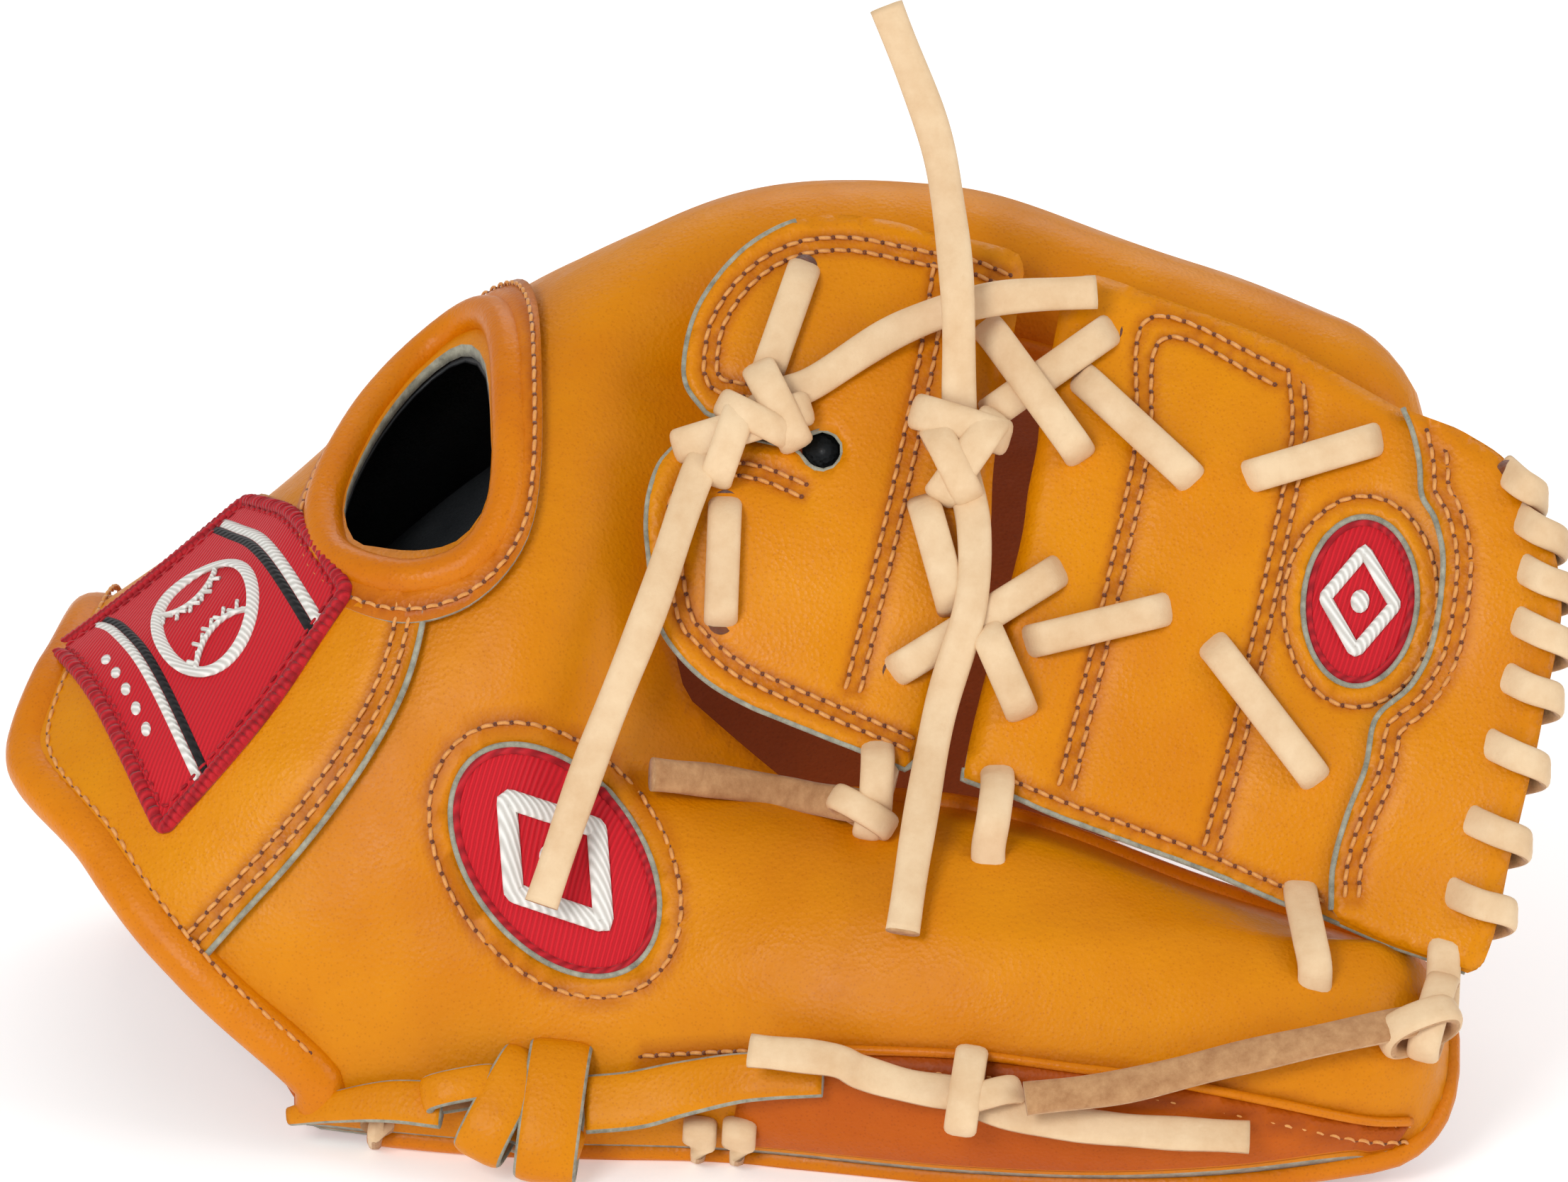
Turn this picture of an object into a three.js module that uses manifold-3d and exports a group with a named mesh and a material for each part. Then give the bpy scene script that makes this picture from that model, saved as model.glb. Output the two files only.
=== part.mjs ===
import * as THREE from 'three';
import { mergeVertices } from 'three/addons/utils/BufferGeometryUtils.js';
import Module from 'manifold-3d';

// Baseball glove, worn on the left hand, resting palm-down as a dome. Units mm, +Z up.
// X runs from the wrist to the finger tips, Y from the thumb to the pinky.

const wasm = await Module();
wasm.setup();
const { Manifold, Mesh: SolidMesh } = wasm;

// ---------- driving dimensions ----------
const LENGTH = 291;              // wrist edge to web edge
const MID_U = LENGTH / 2;
const LEAN = THREE.MathUtils.degToRad(20);   // the web face is described square to a line tilted by this
const LEATHER = 2.8;             // shell leather
const LINING = 1.2;              // lining leather
const GAP = 0.4;                 // clearance between neighbouring pieces
const EASE = 1.5;                // clearance between layers that bend together
const LACE_WIDTH = 6.4;
const LACE_THICK = 2.8;
const KNUCKLE_U = 112;           // where the finger backs start
const FLOOR_ROLL = 6.5;          // height of the rolled edges the glove rests on
const WEB_THICK = 4.6;

// station positions along the glove and the palm surface there, as [Y, Z] from thumb floor edge
// over the top to the pinky floor edge
const STATIONS = [0, 45, 90, 135, 180, 225, 270];
const PALM = [
  [[50, 7], [58, 18], [66, 29], [76, 36], [88, 40], [100, 40], [112, 32], [120, 20], [124, 7]],
  [[36, 7], [47, 24], [60, 41], [74, 54], [92, 62], [110, 62], [126, 50], [137, 29], [142, 7]],
  [[27, 7], [43, 28], [58, 51], [76, 76], [98, 96], [120, 96], [141, 80], [155, 48], [163, 7]],
  [[25, 7], [42, 31], [56, 55], [77, 90], [101, 122], [125, 120], [147, 99], [163, 62], [173, 7]],
  [[15, 7], [34, 32], [47, 57], [75, 98], [103, 129], [127, 121], [150, 98], [168, 60], [179, 7]],
  [[9, 7], [27, 26], [41, 43], [65, 82], [96, 118], [120, 108], [143, 86], [161, 52], [172, 7]],
  [[13, 9], [29, 20], [40, 28], [62, 68], [88, 105], [109, 96], [129, 68], [148, 40], [158, 7]],
];
// thickness of a stuffed stall (or of the hand room) at each station
const THUMB_DEPTH = [14, 17, 24, 28, 28, 25, 22];
const FINGER_DEPTH = [24, 32, 34, 30, 27, 25, 23];
const EDGE_DEPTH = 8.5;
// wrist edge of the back, by arch position 0..8
const WRIST_U = [58, 33, 17, 2, 0, 1, 4, 10, 24];
// wrist edge of the palm side, by arch position 0..8
const HEEL_U = [58, 44, 34, 28, 26, 24, 20, 14, 24];
// stalls: [first arch position, last arch position, tip]
const THUMB_TIP = 268;
const STALLS = {
  index: [4, 5, 268],
  middle: [5, 6, 266],
  ring: [6, 7, 246],
  pinky: [7, 8, 217],
};

// ---------- small maths ----------
const clamp = (x, a, b) => Math.min(b, Math.max(a, x));
const mix = (a, b, k) => a + (b - a) * k;
const smooth = (a, b, x) => {
  // eases from 0 at a to 1 at b; a may be the larger
  const k = clamp((x - a) / (b - a), 0, 1);
  return k * k * (3 - 2 * k);
};

function curve(values, x) {
  // Catmull-Rom through evenly spaced values, x in 0..values.length-1
  const last = values.length - 1;
  const c = clamp(x, 0, last);
  const i = Math.min(Math.floor(c), last - 1);
  const k = c - i;
  const at = (n) => {
    if (n < 0) return 2 * values[0] - values[1];
    if (n > last) return 2 * values[last] - values[last - 1];
    return values[n];
  };
  const [p0, p1, p2, p3] = [at(i - 1), at(i), at(i + 1), at(i + 2)];
  return 0.5 * (2 * p1 + (p2 - p0) * k + (2 * p0 - 5 * p1 + 4 * p2 - p3) * k * k
    + (3 * p1 - p0 - 3 * p2 + p3) * k * k * k);
}

const stationOf = (u) => u / 45;

function palmPoint(u, s) {
  const yz = [0, 1].map((axis) => {
    const across = PALM.map((row) => curve(row.map((p) => p[axis]), s));
    return curve(across, stationOf(u));
  });
  return yz;
}

function palmNormal(u, s) {
  const a = palmPoint(u, clamp(s - 0.12, 0, 8));
  const b = palmPoint(u, clamp(s + 0.12, 0, 8));
  const dy = b[0] - a[0];
  const dz = b[1] - a[1];
  const n = Math.hypot(dy, dz);
  return [-dz / n, dy / n];
}

function bump(s, from, to) {
  const k = clamp((s - from) / (to - from), 0, 1);
  return Math.sin(Math.PI * k) ** 0.62;
}

function depthAt(u, s) {
  // distance from the palm surface to the outside of the back
  const st = stationOf(u);
  const finger = curve(FINGER_DEPTH, st);
  const thumb = curve(THUMB_DEPTH, st);
  const hand = EDGE_DEPTH + (finger - EDGE_DEPTH) * Math.sin(Math.PI * clamp(s, 0, 8) / 8) ** 0.6;
  let stall = EDGE_DEPTH;
  if (s <= 2) stall += (thumb - EDGE_DEPTH) * bump(s, 0, 2);
  if (s >= 4) {
    const k = Math.min(Math.floor(s), 7);
    stall += (finger - EDGE_DEPTH) * bump(s, k, k + 1);
  }
  return mix(hand, stall, smooth(96, 150, u));
}

function row(u, y, z) {
  return [u - MID_U, y, z];
}

// a point on the glove: u along, s across the arch, lift outward from the palm surface
function at(u, s, lift) {
  const [y, z] = palmPoint(u, s);
  const [ny, nz] = palmNormal(u, s);
  return row(u, y + ny * lift, z + nz * lift);
}

// a point described square to the web face: u along, w up the face, t into the glove
function faceOn(u, w, t) {
  return row(u, t * Math.cos(LEAN) + w * Math.sin(LEAN), -t * Math.sin(LEAN) + w * Math.cos(LEAN));
}
const faceHeight = (p) => p[1] * Math.sin(LEAN) + p[2] * Math.cos(LEAN);

// arch position whose outside (raised by lift) appears at height w of the web face
function archAt(u, w, lift) {
  let best = 0;
  let bestW = -1e9;
  for (let s = 0; s <= 6; s += 0.05) {
    const h = faceHeight(at(u, s, depthAt(u, s) + lift));
    if (h >= w) {
      let lo = Math.max(0, s - 0.05);
      let hi = s;
      for (let n = 0; n < 20; n += 1) {
        const m = (lo + hi) / 2;
        if (faceHeight(at(u, m, depthAt(u, m) + lift)) >= w) hi = m;
        else lo = m;
      }
      return hi;
    }
    if (h > bestW) {
      bestW = h;
      best = s;
    }
  }
  return best;
}
function onBack(u, w, lift) {
  const s = archAt(u, w, 0);
  return at(u, s, depthAt(u, s) + lift);
}
const webDepth = (u, w) => 3 - 3 * smooth(98, 66, w) + 0.19 * w - 5 * Math.sin(Math.PI * clamp((w - 60) / 110, 0, 1))
  - 3 * smooth(245, 290, u);
const onWeb = (u, w, lift) => faceOn(u, w, webDepth(u, w) - lift);

// ---------- solids ----------
const glove = new THREE.Group();
glove.name = 'baseball_glove';

const FINISHES = [
  [/^(tail|knot)_|lace/, { color: 0xe8cba0, roughness: 0.75, metalness: 0 }],
  [/^thumb_strap/, { color: 0xcf9a5c, roughness: 0.8, metalness: 0 }],
  [/patch|oval/, { color: 0xd61f2e, roughness: 0.8, metalness: 0 }],
  [/lining/, { color: 0x191c1c, roughness: 0.7, metalness: 0 }],
  [/pad$/, { color: 0xcac6b8, roughness: 0.95, metalness: 0 }],
  [/liner/, { color: 0xd0a070, roughness: 0.85, metalness: 0 }],
  [/palm|edge_roll/, { color: 0xc6641c, roughness: 0.55, metalness: 0 }],
  [/./, { color: 0xde8c0a, roughness: 0.5, metalness: 0 }],
];

function namedMesh(name, geometry) {
  const [, look] = FINISHES.find(([pattern]) => pattern.test(name));
  const mesh = new THREE.Mesh(geometry, new THREE.MeshStandardMaterial(look));
  mesh.name = name;
  return mesh;
}

function finish(name, positions, faces) {
  let volume = 0;
  for (const [a, b, c] of faces) {
    const [p, q, r] = [positions[a], positions[b], positions[c]];
    volume += p[0] * (q[1] * r[2] - q[2] * r[1]) + p[1] * (q[2] * r[0] - q[0] * r[2])
      + p[2] * (q[0] * r[1] - q[1] * r[0]);
  }
  const order = volume < 0 ? faces.map(([a, b, c]) => [a, c, b]) : faces;
  const geometry = new THREE.BufferGeometry();
  geometry.setAttribute('position', new THREE.Float32BufferAttribute(positions.flat(), 3));
  geometry.setIndex(order.flat());
  return namedMesh(name, geometry);
}

function quad(faces, a, b, c, d) {
  faces.push([a, b, c], [a, c, d]);
}

// leather sheet between two surfaces, each a function of (i, j) in 0..1
function sheet(name, rows, cols, outside, inside) {
  const positions = [];
  const faces = [];
  for (const side of [outside, inside]) {
    for (let i = 0; i <= rows; i += 1) {
      for (let j = 0; j <= cols; j += 1) positions.push(side(i / rows, j / cols));
    }
  }
  const n = (rows + 1) * (cols + 1);
  const id = (i, j) => i * (cols + 1) + j;
  for (let i = 0; i < rows; i += 1) {
    for (let j = 0; j < cols; j += 1) {
      quad(faces, id(i, j), id(i + 1, j), id(i + 1, j + 1), id(i, j + 1));
      quad(faces, n + id(i, j), n + id(i, j + 1), n + id(i + 1, j + 1), n + id(i + 1, j));
    }
  }
  for (let i = 0; i < rows; i += 1) {
    quad(faces, id(i, 0), n + id(i, 0), n + id(i + 1, 0), id(i + 1, 0));
    quad(faces, id(i, cols), id(i + 1, cols), n + id(i + 1, cols), n + id(i, cols));
  }
  for (let j = 0; j < cols; j += 1) {
    quad(faces, id(0, j), id(0, j + 1), n + id(0, j + 1), n + id(0, j));
    quad(faces, id(rows, j), n + id(rows, j), n + id(rows, j + 1), id(rows, j + 1));
  }
  return finish(name, positions, faces);
}

// bar swept along points; section is a list of [side, up]; ups are the directions "up" at each point
function sweep(name, points, ups, section, closed = false) {
  const positions = [];
  const faces = [];
  const count = points.length;
  const v = (p) => new THREE.Vector3(...p);
  for (let i = 0; i < count; i += 1) {
    const before = points[closed ? (i + count - 1) % count : Math.max(0, i - 1)];
    const after = points[closed ? (i + 1) % count : Math.min(count - 1, i + 1)];
    const along = v(after).sub(v(before)).normalize();
    const side = along.clone().cross(v(ups[i])).normalize();
    const up = side.clone().cross(along).normalize();
    const shape = typeof section === 'function' ? section(i / (count - 1)) : section;
    for (const [a, b] of shape) {
      const p = v(points[i]).addScaledVector(side, a).addScaledVector(up, b);
      positions.push([p.x, p.y, p.z]);
    }
  }
  const m = positions.length / count;
  const spans = closed ? count : count - 1;
  for (let i = 0; i < spans; i += 1) {
    const next = (i + 1) % count;
    for (let j = 0; j < m; j += 1) {
      const k = (j + 1) % m;
      quad(faces, i * m + j, i * m + k, next * m + k, next * m + j);
    }
  }
  if (!closed) {
    for (let j = 1; j < m - 1; j += 1) {
      faces.push([0, j + 1, j]);
      faces.push([(count - 1) * m, (count - 1) * m + j, (count - 1) * m + j + 1]);
    }
  }
  return finish(name, positions, faces);
}

const flatSection = (width, thick) => {
  const [a, b] = [width / 2, thick / 2];
  const c = Math.min(a, b) * 0.55;
  return [[-a + c, -b], [a - c, -b], [a, -b + c], [a, b - c], [a - c, b], [-a + c, b], [-a, b - c], [-a, -b + c]];
};
const roundSection = (radius, sides) => Array.from({ length: sides }, (_, i) => {
  const angle = (2 * Math.PI * i) / sides;
  return [radius * Math.cos(angle), radius * Math.sin(angle)];
});

// smooth run through a few points
function through(points, steps) {
  const line = new THREE.CatmullRomCurve3(points.map((p) => new THREE.Vector3(...p)), false, 'centripetal');
  return line.getSpacedPoints(steps).map((p) => [p.x, p.y, p.z]);
}

function toSolid(mesh) {
  const g = mesh.geometry;
  const merged = new SolidMesh({
    numProp: 3,
    vertProperties: new Float32Array(g.attributes.position.array),
    triVerts: new Uint32Array(g.index.array),
  });
  merged.merge();
  return new Manifold(merged);
}
function fromSolid(name, solid) {
  const m = solid.getMesh();
  const positions = [];
  for (let i = 0; i < m.vertProperties.length; i += m.numProp) {
    positions.push([m.vertProperties[i], m.vertProperties[i + 1], m.vertProperties[i + 2]]);
  }
  const faces = [];
  for (let i = 0; i < m.triVerts.length; i += 3) faces.push([...m.triVerts.slice(i, i + 3)]);
  return finish(name, positions, faces);
}

function add(mesh) {
  glove.add(mesh);
  return mesh;
}

// sheet of the shell between arch positions, at a height band measured from the palm surface
// uFrom/uTo and sFrom/sTo may be numbers or functions; band(u, s) gives [outer lift, inner lift]
function shell(name, rows, cols, uFrom, uTo, sFrom, sTo, band) {
  const value = (f, x) => (typeof f === 'function' ? f(x) : f);
  const place = (which) => (i, j) => {
    // the s limits may depend on u and the u limits on s: two passes settle both
    let u = value(uFrom, 4) + i * (value(uTo, 4) - value(uFrom, 4));
    let s = 4;
    for (let n = 0; n < 6; n += 1) {
      s = mix(value(sFrom, u), value(sTo, u), j);
      u = mix(value(uFrom, s), value(uTo, s), i);
    }
    return at(u, s, band(u, s)[which]);
  };
  return sheet(name, rows, cols, place(0), place(1));
}

// the thumb fold on the shell: arch position by u
const foldS = (u) => mix(0.95, 2, clamp((u - 36) / 90, 0, 1));
// the pinky fold follows the crease between middle and ring
const PINKY_FOLD = 6;
const wristU = (s) => curve(WRIST_U, s);
const heelU = (s) => curve(HEEL_U, s);

const backBand = (u, s) => {
  const d = depthAt(u, s);
  return [d, d - LEATHER];
};
const backLiningBand = (u, s) => {
  const d = depthAt(u, s) - LEATHER - 1.4 * EASE;
  return [d, d - LINING];
};
const palmBand = () => [LEATHER, 0];
const palmLiningBand = () => [LEATHER + EASE + LINING, LEATHER + EASE];

// ---------- leather shell ----------
const handEnd = (s) => KNUCKLE_U - GAP + 7 * smooth(2.2, 2.8, s) * smooth(3.9, 3.3, s);
add(shell('hand_back', 9, 14, wristU, handEnd, (u) => foldS(u) + 0.06, PINKY_FOLD - 0.05, backBand));

// opening on the back of the hand, cut through leather and lining
function ring(cx, cw, ru, rw, count, lift) {
  return Array.from({ length: count }, (_, i) => {
    const angle = (2 * Math.PI * i) / count;
    return onBack(cx + ru * Math.cos(angle), cw + rw * Math.sin(angle), lift);
  });
}
const HOLE = { u: 76, w: 128, ru: 15.5, rw: 11 };
const holeCutter = (grow) => {
  const low = ring(HOLE.u, HOLE.w, HOLE.ru + grow, HOLE.rw + grow, 20, -16);
  const high = ring(HOLE.u, HOLE.w, HOLE.ru + grow, HOLE.rw + grow, 20, 9);
  const positions = [...low, ...high];
  const faces = [];
  for (let i = 0; i < 20; i += 1) quad(faces, i, (i + 1) % 20, 20 + ((i + 1) % 20), 20 + i);
  for (let i = 1; i < 19; i += 1) {
    faces.push([0, i + 1, i]);
    faces.push([20, 20 + i, 21 + i]);
  }
  return toSolid(finish('cutter', positions, faces));
};
function replaceWith(name, solid) {
  const old = glove.getObjectByName(name);
  glove.remove(old);
  glove.add(fromSolid(name, solid));
}
replaceWith('hand_back', toSolid(glove.getObjectByName('hand_back')).subtract(holeCutter(0)));
add(sweep('back_opening_roll', ring(HOLE.u, HOLE.w, HOLE.ru + 1, HOLE.rw + 1, 24, 3.9),
  ring(HOLE.u, HOLE.w, HOLE.ru, HOLE.rw, 24, 12).map((p, i, all) => {
    const base = ring(HOLE.u, HOLE.w, HOLE.ru, HOLE.rw, 24, 0)[i];
    return [p[0] - base[0], p[1] - base[1], p[2] - base[2]];
  }), roundSection(3.1, 8), true));

add(shell('hand_back_lining', 6, 10, (s) => wristU(s) + 6, (s) => handEnd(s) - 2, (u) => foldS(u) + 0.3, PINKY_FOLD - 0.15,
  backLiningBand));
replaceWith('hand_back_lining', toSolid(glove.getObjectByName('hand_back_lining')).subtract(holeCutter(-1)));
add(shell('thumb_hand_back', 5, 4, wristU, KNUCKLE_U - GAP, 0.03, (u) => foldS(u) - 0.06, backBand));
add(shell('pinky_hand_back', 7, 7, wristU, KNUCKLE_U - GAP, PINKY_FOLD + 0.05, 7.97, backBand));

// stalls: outside half, each rounded at its tip in plan and in depth
function tipPlan(u, tip, r) {
  const k = clamp((u - (tip - r)) / r, 0, 1);
  return Math.max(0.3, Math.sqrt(Math.max(0, 1 - k * k)));
}
function stall(name, rows, cols, first, last, tip, inset, uStart, uEnd, roundness, band) {
  const middle = (first + last) / 2;
  const half = (last - first) / 2 - inset;
  const place = (which) => (i, j) => {
    // rows crowd toward the tip so the rounding is even
    const u = mix(uStart, uEnd, 1 - (1 - i) ** 1.35);
    const s = middle + (2 * j - 1) * half * tipPlan(u, tip, roundness);
    return at(u, s, band(u, s)[which]);
  };
  return sheet(name, rows, cols, place(0), place(1));
}
const tipBand = (tip, r) => (u, s) => {
  const k = clamp((u - (tip - r)) / r, 0, 1);
  const low = LEATHER + GAP;
  const d = mix(low + LEATHER + 0.2, depthAt(u, s), Math.sqrt(Math.max(0.02, 1 - k * k)));
  return [d, Math.max(low, d - LEATHER)];
};
add(stall('thumb_back', 11, 8, 0, 2, THUMB_TIP, 0.03, KNUCKLE_U, THUMB_TIP - 1, 27, tipBand(THUMB_TIP, 16)));
for (const [name, [first, last, tip]] of Object.entries(STALLS)) {
  const inset = name === 'pinky' ? 0.04 : 0.05;
  add(stall(`${name}_back`, 10, 8, first, last, tip, inset, KNUCKLE_U, tip - 1, 17, tipBand(tip, 15)));
}

// palm side: one hide in life, parted here along the two folds
add(shell('palm_centre', 8, 12, heelU, KNUCKLE_U + 14, (u) => foldS(u) + 0.04, PINKY_FOLD - 0.06, palmBand));
add(shell('palm_pinky_side', 8, 5, heelU, KNUCKLE_U + 14, PINKY_FOLD + 0.06, 7.97, palmBand));
add(shell('palm_thumb_side', 6, 5, heelU, KNUCKLE_U + 14, 0.03, (u) => foldS(u) - 0.04, palmBand));
add(stall('thumb_palm', 9, 6, 0, 2, THUMB_TIP, 0.03, KNUCKLE_U + 14 + GAP, THUMB_TIP - 1, 27, palmBand));
for (const [name, [first, last, tip]] of Object.entries(STALLS)) {
  const inset = name === 'pinky' ? 0.04 : 0.05;
  add(stall(`${name}_palm`, 8, 5, first, last, tip, inset, KNUCKLE_U + 14 + GAP, tip - 1, 17, palmBand));
}
add(shell('palm_liner', 6, 10, (s) => heelU(s) + 4, KNUCKLE_U + 12, (u) => foldS(u) + 0.2, PINKY_FOLD - 0.15,
  palmLiningBand));

// stuffing and stiffeners
const padBand = (thick) => () => [LEATHER + EASE + LINING + EASE + thick, LEATHER + EASE + LINING + EASE];
add(shell('felt_palm_pad', 4, 4, 62, 104, 3.2, 5.2, padBand(4)));
add(shell('pinky_heel_pad', 4, 3, 42, 92, 6.5, 7.5, () => [LEATHER + EASE + 4, LEATHER + EASE]));
add(shell('thumb_heel_pad', 4, 2, 64, 104, 0.45, (u) => foldS(u) - 0.2, () => [LEATHER + EASE + 4, LEATHER + EASE]));

// rolled edges the glove rests on: flat underneath
function floorRoll(name, uStart, uEnd, s, steps) {
  const section = [[-5.5, 0], [6, 0], [7, 2.2], [5.5, 4.8], [2, 5.9], [-2.5, 5.9], [-5.8, 4.6], [-6.8, 2.2]];
  const line = Array.from({ length: steps + 1 }, (_, i) => {
    const u = mix(uStart, uEnd, i / steps);
    const p = at(u, s, EDGE_DEPTH / 2);
    return [p[0], p[1], 0];
  });
  return sweep(name, line, line.map(() => [0, 0, 1]), section);
}
add(floorRoll('thumb_edge_roll', 60, 246, 0.05, 10));
add(floorRoll('pinky_edge_roll', 28, 204, 7.95, 10));

// ---------- wrist ----------
const strapBand = (u, s) => {
  const d = depthAt(u, s) + EASE;
  return [d + 2.4, d];
};
const seamU = (s) => (s < 3.6 ? curve([22, 37, 63, 78], s) : mix(78, 54, smooth(3.2, 3.9, s)));
const strapEnd = (s) => Math.min(seamU(s), mix(78, 52, smooth(3.25, 3.7, s)));
add(shell('wrist_strap', 4, 14, (s) => wristU(s) + 4.5, strapEnd, (u) => 1.16, PINKY_FOLD - 0.08, strapBand));
function alongWrist(sFrom, sTo, lift, inset, steps) {
  return Array.from({ length: steps + 1 }, (_, i) => {
    const s = mix(sFrom, sTo, i / steps);
    const u = wristU(s) + inset;
    return at(u, s, depthAt(u, s) + lift);
  });
}
const wristUps = alongWrist(1.2, 5.9, 10, 2.2, 18).map((p, i) => {
  const q = alongWrist(1.2, 5.9, 0, 2.2, 18)[i];
  return [p[0] - q[0], p[1] - q[1], p[2] - q[2]];
});
add(sweep('wrist_binding', alongWrist(1.2, 5.9, 2.6, 1.5, 18), wristUps, flatSection(4, 2)));

// emblem patch: a leaning rectangle on the strap
const PATCH_CORNERS = [[41.8, 125.5], [65.9, 109.1], [32, 65.4], [3.5, 93]];
function onStrap(u, w, lift) {
  const s = archAt(u, Math.min(w, 140), 0);
  return at(u, s, depthAt(u, s) + EASE + 2.4 + lift);
}
function patchPoint(i, j, lift) {
  const [a, b, c, d] = PATCH_CORNERS;
  const top = [mix(a[0], b[0], j), mix(a[1], b[1], j)];
  const low = [mix(d[0], c[0], j), mix(d[1], c[1], j)];
  return onStrap(mix(top[0], low[0], i), mix(top[1], low[1], i) - 1.5, lift);
}
add(sheet('emblem_patch', 8, 6, (i, j) => patchPoint(i, j, EASE + 1.8), (i, j) => patchPoint(i, j, EASE)));

// ---------- web ----------
// a panel between two side outlines, each a list of [u, w] from bottom to top
function panel(name, rows, cols, left, right, lift, thick) {
  const edge = (points, k) => {
    const c = k * (points.length - 1);
    return [curve(points.map((p) => p[0]), c), curve(points.map((p) => p[1]), c)];
  };
  const place = (extra) => (i, j) => {
    const a = edge(left, i);
    const b = edge(right, i);
    return onWeb(mix(a[0], b[0], j), mix(a[1], b[1], j), lift + extra);
  };
  return sheet(name, rows, cols, place(0), place(-thick));
}
const TIP_LEFT = [[178.3, 77.5], [182.9, 94.5], [189.5, 119.1], [192.8, 137.4], [197.5, 161]];
const TIP_RIGHT = [[273, 45.5], [279, 66], [285.5, 91.7], [287.2, 114], [276, 137]];
const tipPanel = panel('tip_web_panel', 10, 10, TIP_LEFT, TIP_RIGHT, 0, WEB_THICK);
const CROTCH_LEFT = [[130, 97], [122, 108], [121, 122], [127, 137], [128, 152], [134.6, 168], [151.3, 178]];
const CROTCH_RIGHT = [[168.4, 79], [174, 92], [178.5, 105], [183.2, 118.3], [185.5, 137], [188, 154], [189.5, 172.5]];
const crotchPanel = panel('crotch_web_panel', 10, 8, CROTCH_LEFT, CROTCH_RIGHT, 0, WEB_THICK);
const notch = [onWeb(112, 141.5, 0), onWeb(142, 139, 0), onWeb(153.3, 136.8, 0)];
const webOut = faceOn(MID_U, 0, -1).map((x) => x * 1);
const bore = (u, w, r) => toSolid(sweep('bore', [onWeb(u, w, 12), onWeb(u, w, -14)], [[1, 0, 0], [1, 0, 0]],
  roundSection(r, 8)));
const slot = toSolid(sweep('slot', notch, notch.map(() => webOut), [[-1.4, -9], [1.4, -9], [1.4, 9], [-1.4, 9]]));

// laces: each front run is named by its two holes; the run between two front runs passes behind
const FRONT = 1.9;
const BEHIND = -WEB_THICK - 2.2;
function laceRun(name, holes, lifts) {
  const points = [];
  holes.forEach(([u, w], i) => {
    const front = lifts[i];
    const next = holes[i + 1];
    const prev = holes[i - 1];
    const toward = i % 2 === 0 ? next : prev;
    const n = Math.hypot(toward[0] - u, toward[1] - w);
    const step = [((toward[0] - u) / n) * 2.6, ((toward[1] - w) / n) * 2.6];
    const inFront = onWeb(u + step[0], w + step[1], front);
    const inHole = onWeb(u, w, front - 2.6);
    const back = onWeb(u, w, BEHIND);
    if (i % 2 === 0) points.push(back, inHole, inFront);
    else points.push(inFront, inHole, back);
  });
  const line = new THREE.CatmullRomCurve3(points.map((p) => new THREE.Vector3(...p)), false, 'centripetal');
  const count = points.length * 2;
  const run = line.getPoints(count).map((p) => [p.x, p.y, p.z]);
  return sweep(name, run, run.map(() => [0.35, -0.8, 0.5]), roundSection(LACE_THICK * 0.72, 6));
}
const webLaces = [
  laceRun('web_lace_upper', [[184, 159.2], [200.4, 136.3], [208.4, 159.2], [184, 143.4]], [6.6, 6.6, 2.2, 2.2]),
  laceRun('web_lace_lower', [[196.6, 114.7], [164.6, 95.5]], [2.4, 2.4]),
  laceRun('web_lace_tip_upper', [[200.9, 150.4], [221.1, 131.4], [231.7, 131.9], [255.4, 138.9]], [2, 2, 2, 2]),
  laceRun('web_lace_tip_lower', [[191.1, 101.6], [216.2, 107.6], [224.6, 101.2], [243.3, 76.5]], [2, 2, 2, 2]),
  laceRun('crotch_lace', [[150, 170.9], [143.2, 151.3], [135.4, 127.1], [134.6, 105.3]], [2, 2, 2, 2]),
];

// whip lace winding round the tip edge of the web
const WHIP = [[278.8, 131.4], [280.8, 122], [280.4, 111], [278.6, 99], [276, 87], [272.5, 75], [268.8, 62], [266.5, 51]];
function whipLine() {
  const points = [];
  WHIP.forEach(([u, w], i) => {
    points.push(onWeb(u, w, -WEB_THICK - 2.4));
    points.push(onWeb(u, w, 2.6));
    const next = WHIP[i + 1] || [266, 44];
    const edge = 11.4;
    points.push(onWeb(u + edge, w - 4.5, 2.2));
    points.push(onWeb(u + edge + 0.6, w - 7, -WEB_THICK - 2));
    points.push(onWeb((u + next[0]) / 2 + 3, (w + next[1]) / 2 - 2, -WEB_THICK - 2.6));
  });
  return points;
}
const whip = sweep('whip_lace', through(whipLine(), 96), through(whipLine(), 96).map(() => [0, 0.34, 0.94]),
  roundSection(1.7, 5));

const strapLeft = [[245.5, 55.5], [252.3, 78.8], [260.4, 93.2], [266.7, 116], [260.5, 144]];
const strapRight = [[264, 49.5], [269.5, 70], [274.5, 93], [275.5, 114], [267.5, 139]];
const tipStrap = panel('web_tip_binding', 10, 2, strapLeft, strapRight, GAP + 2.2, 2.2);
const ovalOn = (place, u, w, a, b, angle, lift, thick, name) => {
  const c = Math.cos(angle);
  const q = Math.sin(angle);
  const pointAt = (extra) => (i, j) => {
    const x = (2 * i - 1) * 0.999;
    const y = (2 * j - 1) * 0.999;
    // square to disc
    const dx = x * Math.sqrt(1 - (y * y) / 2) * a;
    const dy = y * Math.sqrt(1 - (x * x) / 2) * b;
    return place(u + dx * c - dy * q, w + dx * q + dy * c, lift + extra);
  };
  return sheet(name, 6, 6, pointAt(0), pointAt(-thick));
};
const webOval = ovalOn(onWeb, 251.5, 109, 15.6, 10.4, THREE.MathUtils.degToRad(84), GAP + 1.8, 1.8, 'web_oval');

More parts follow.
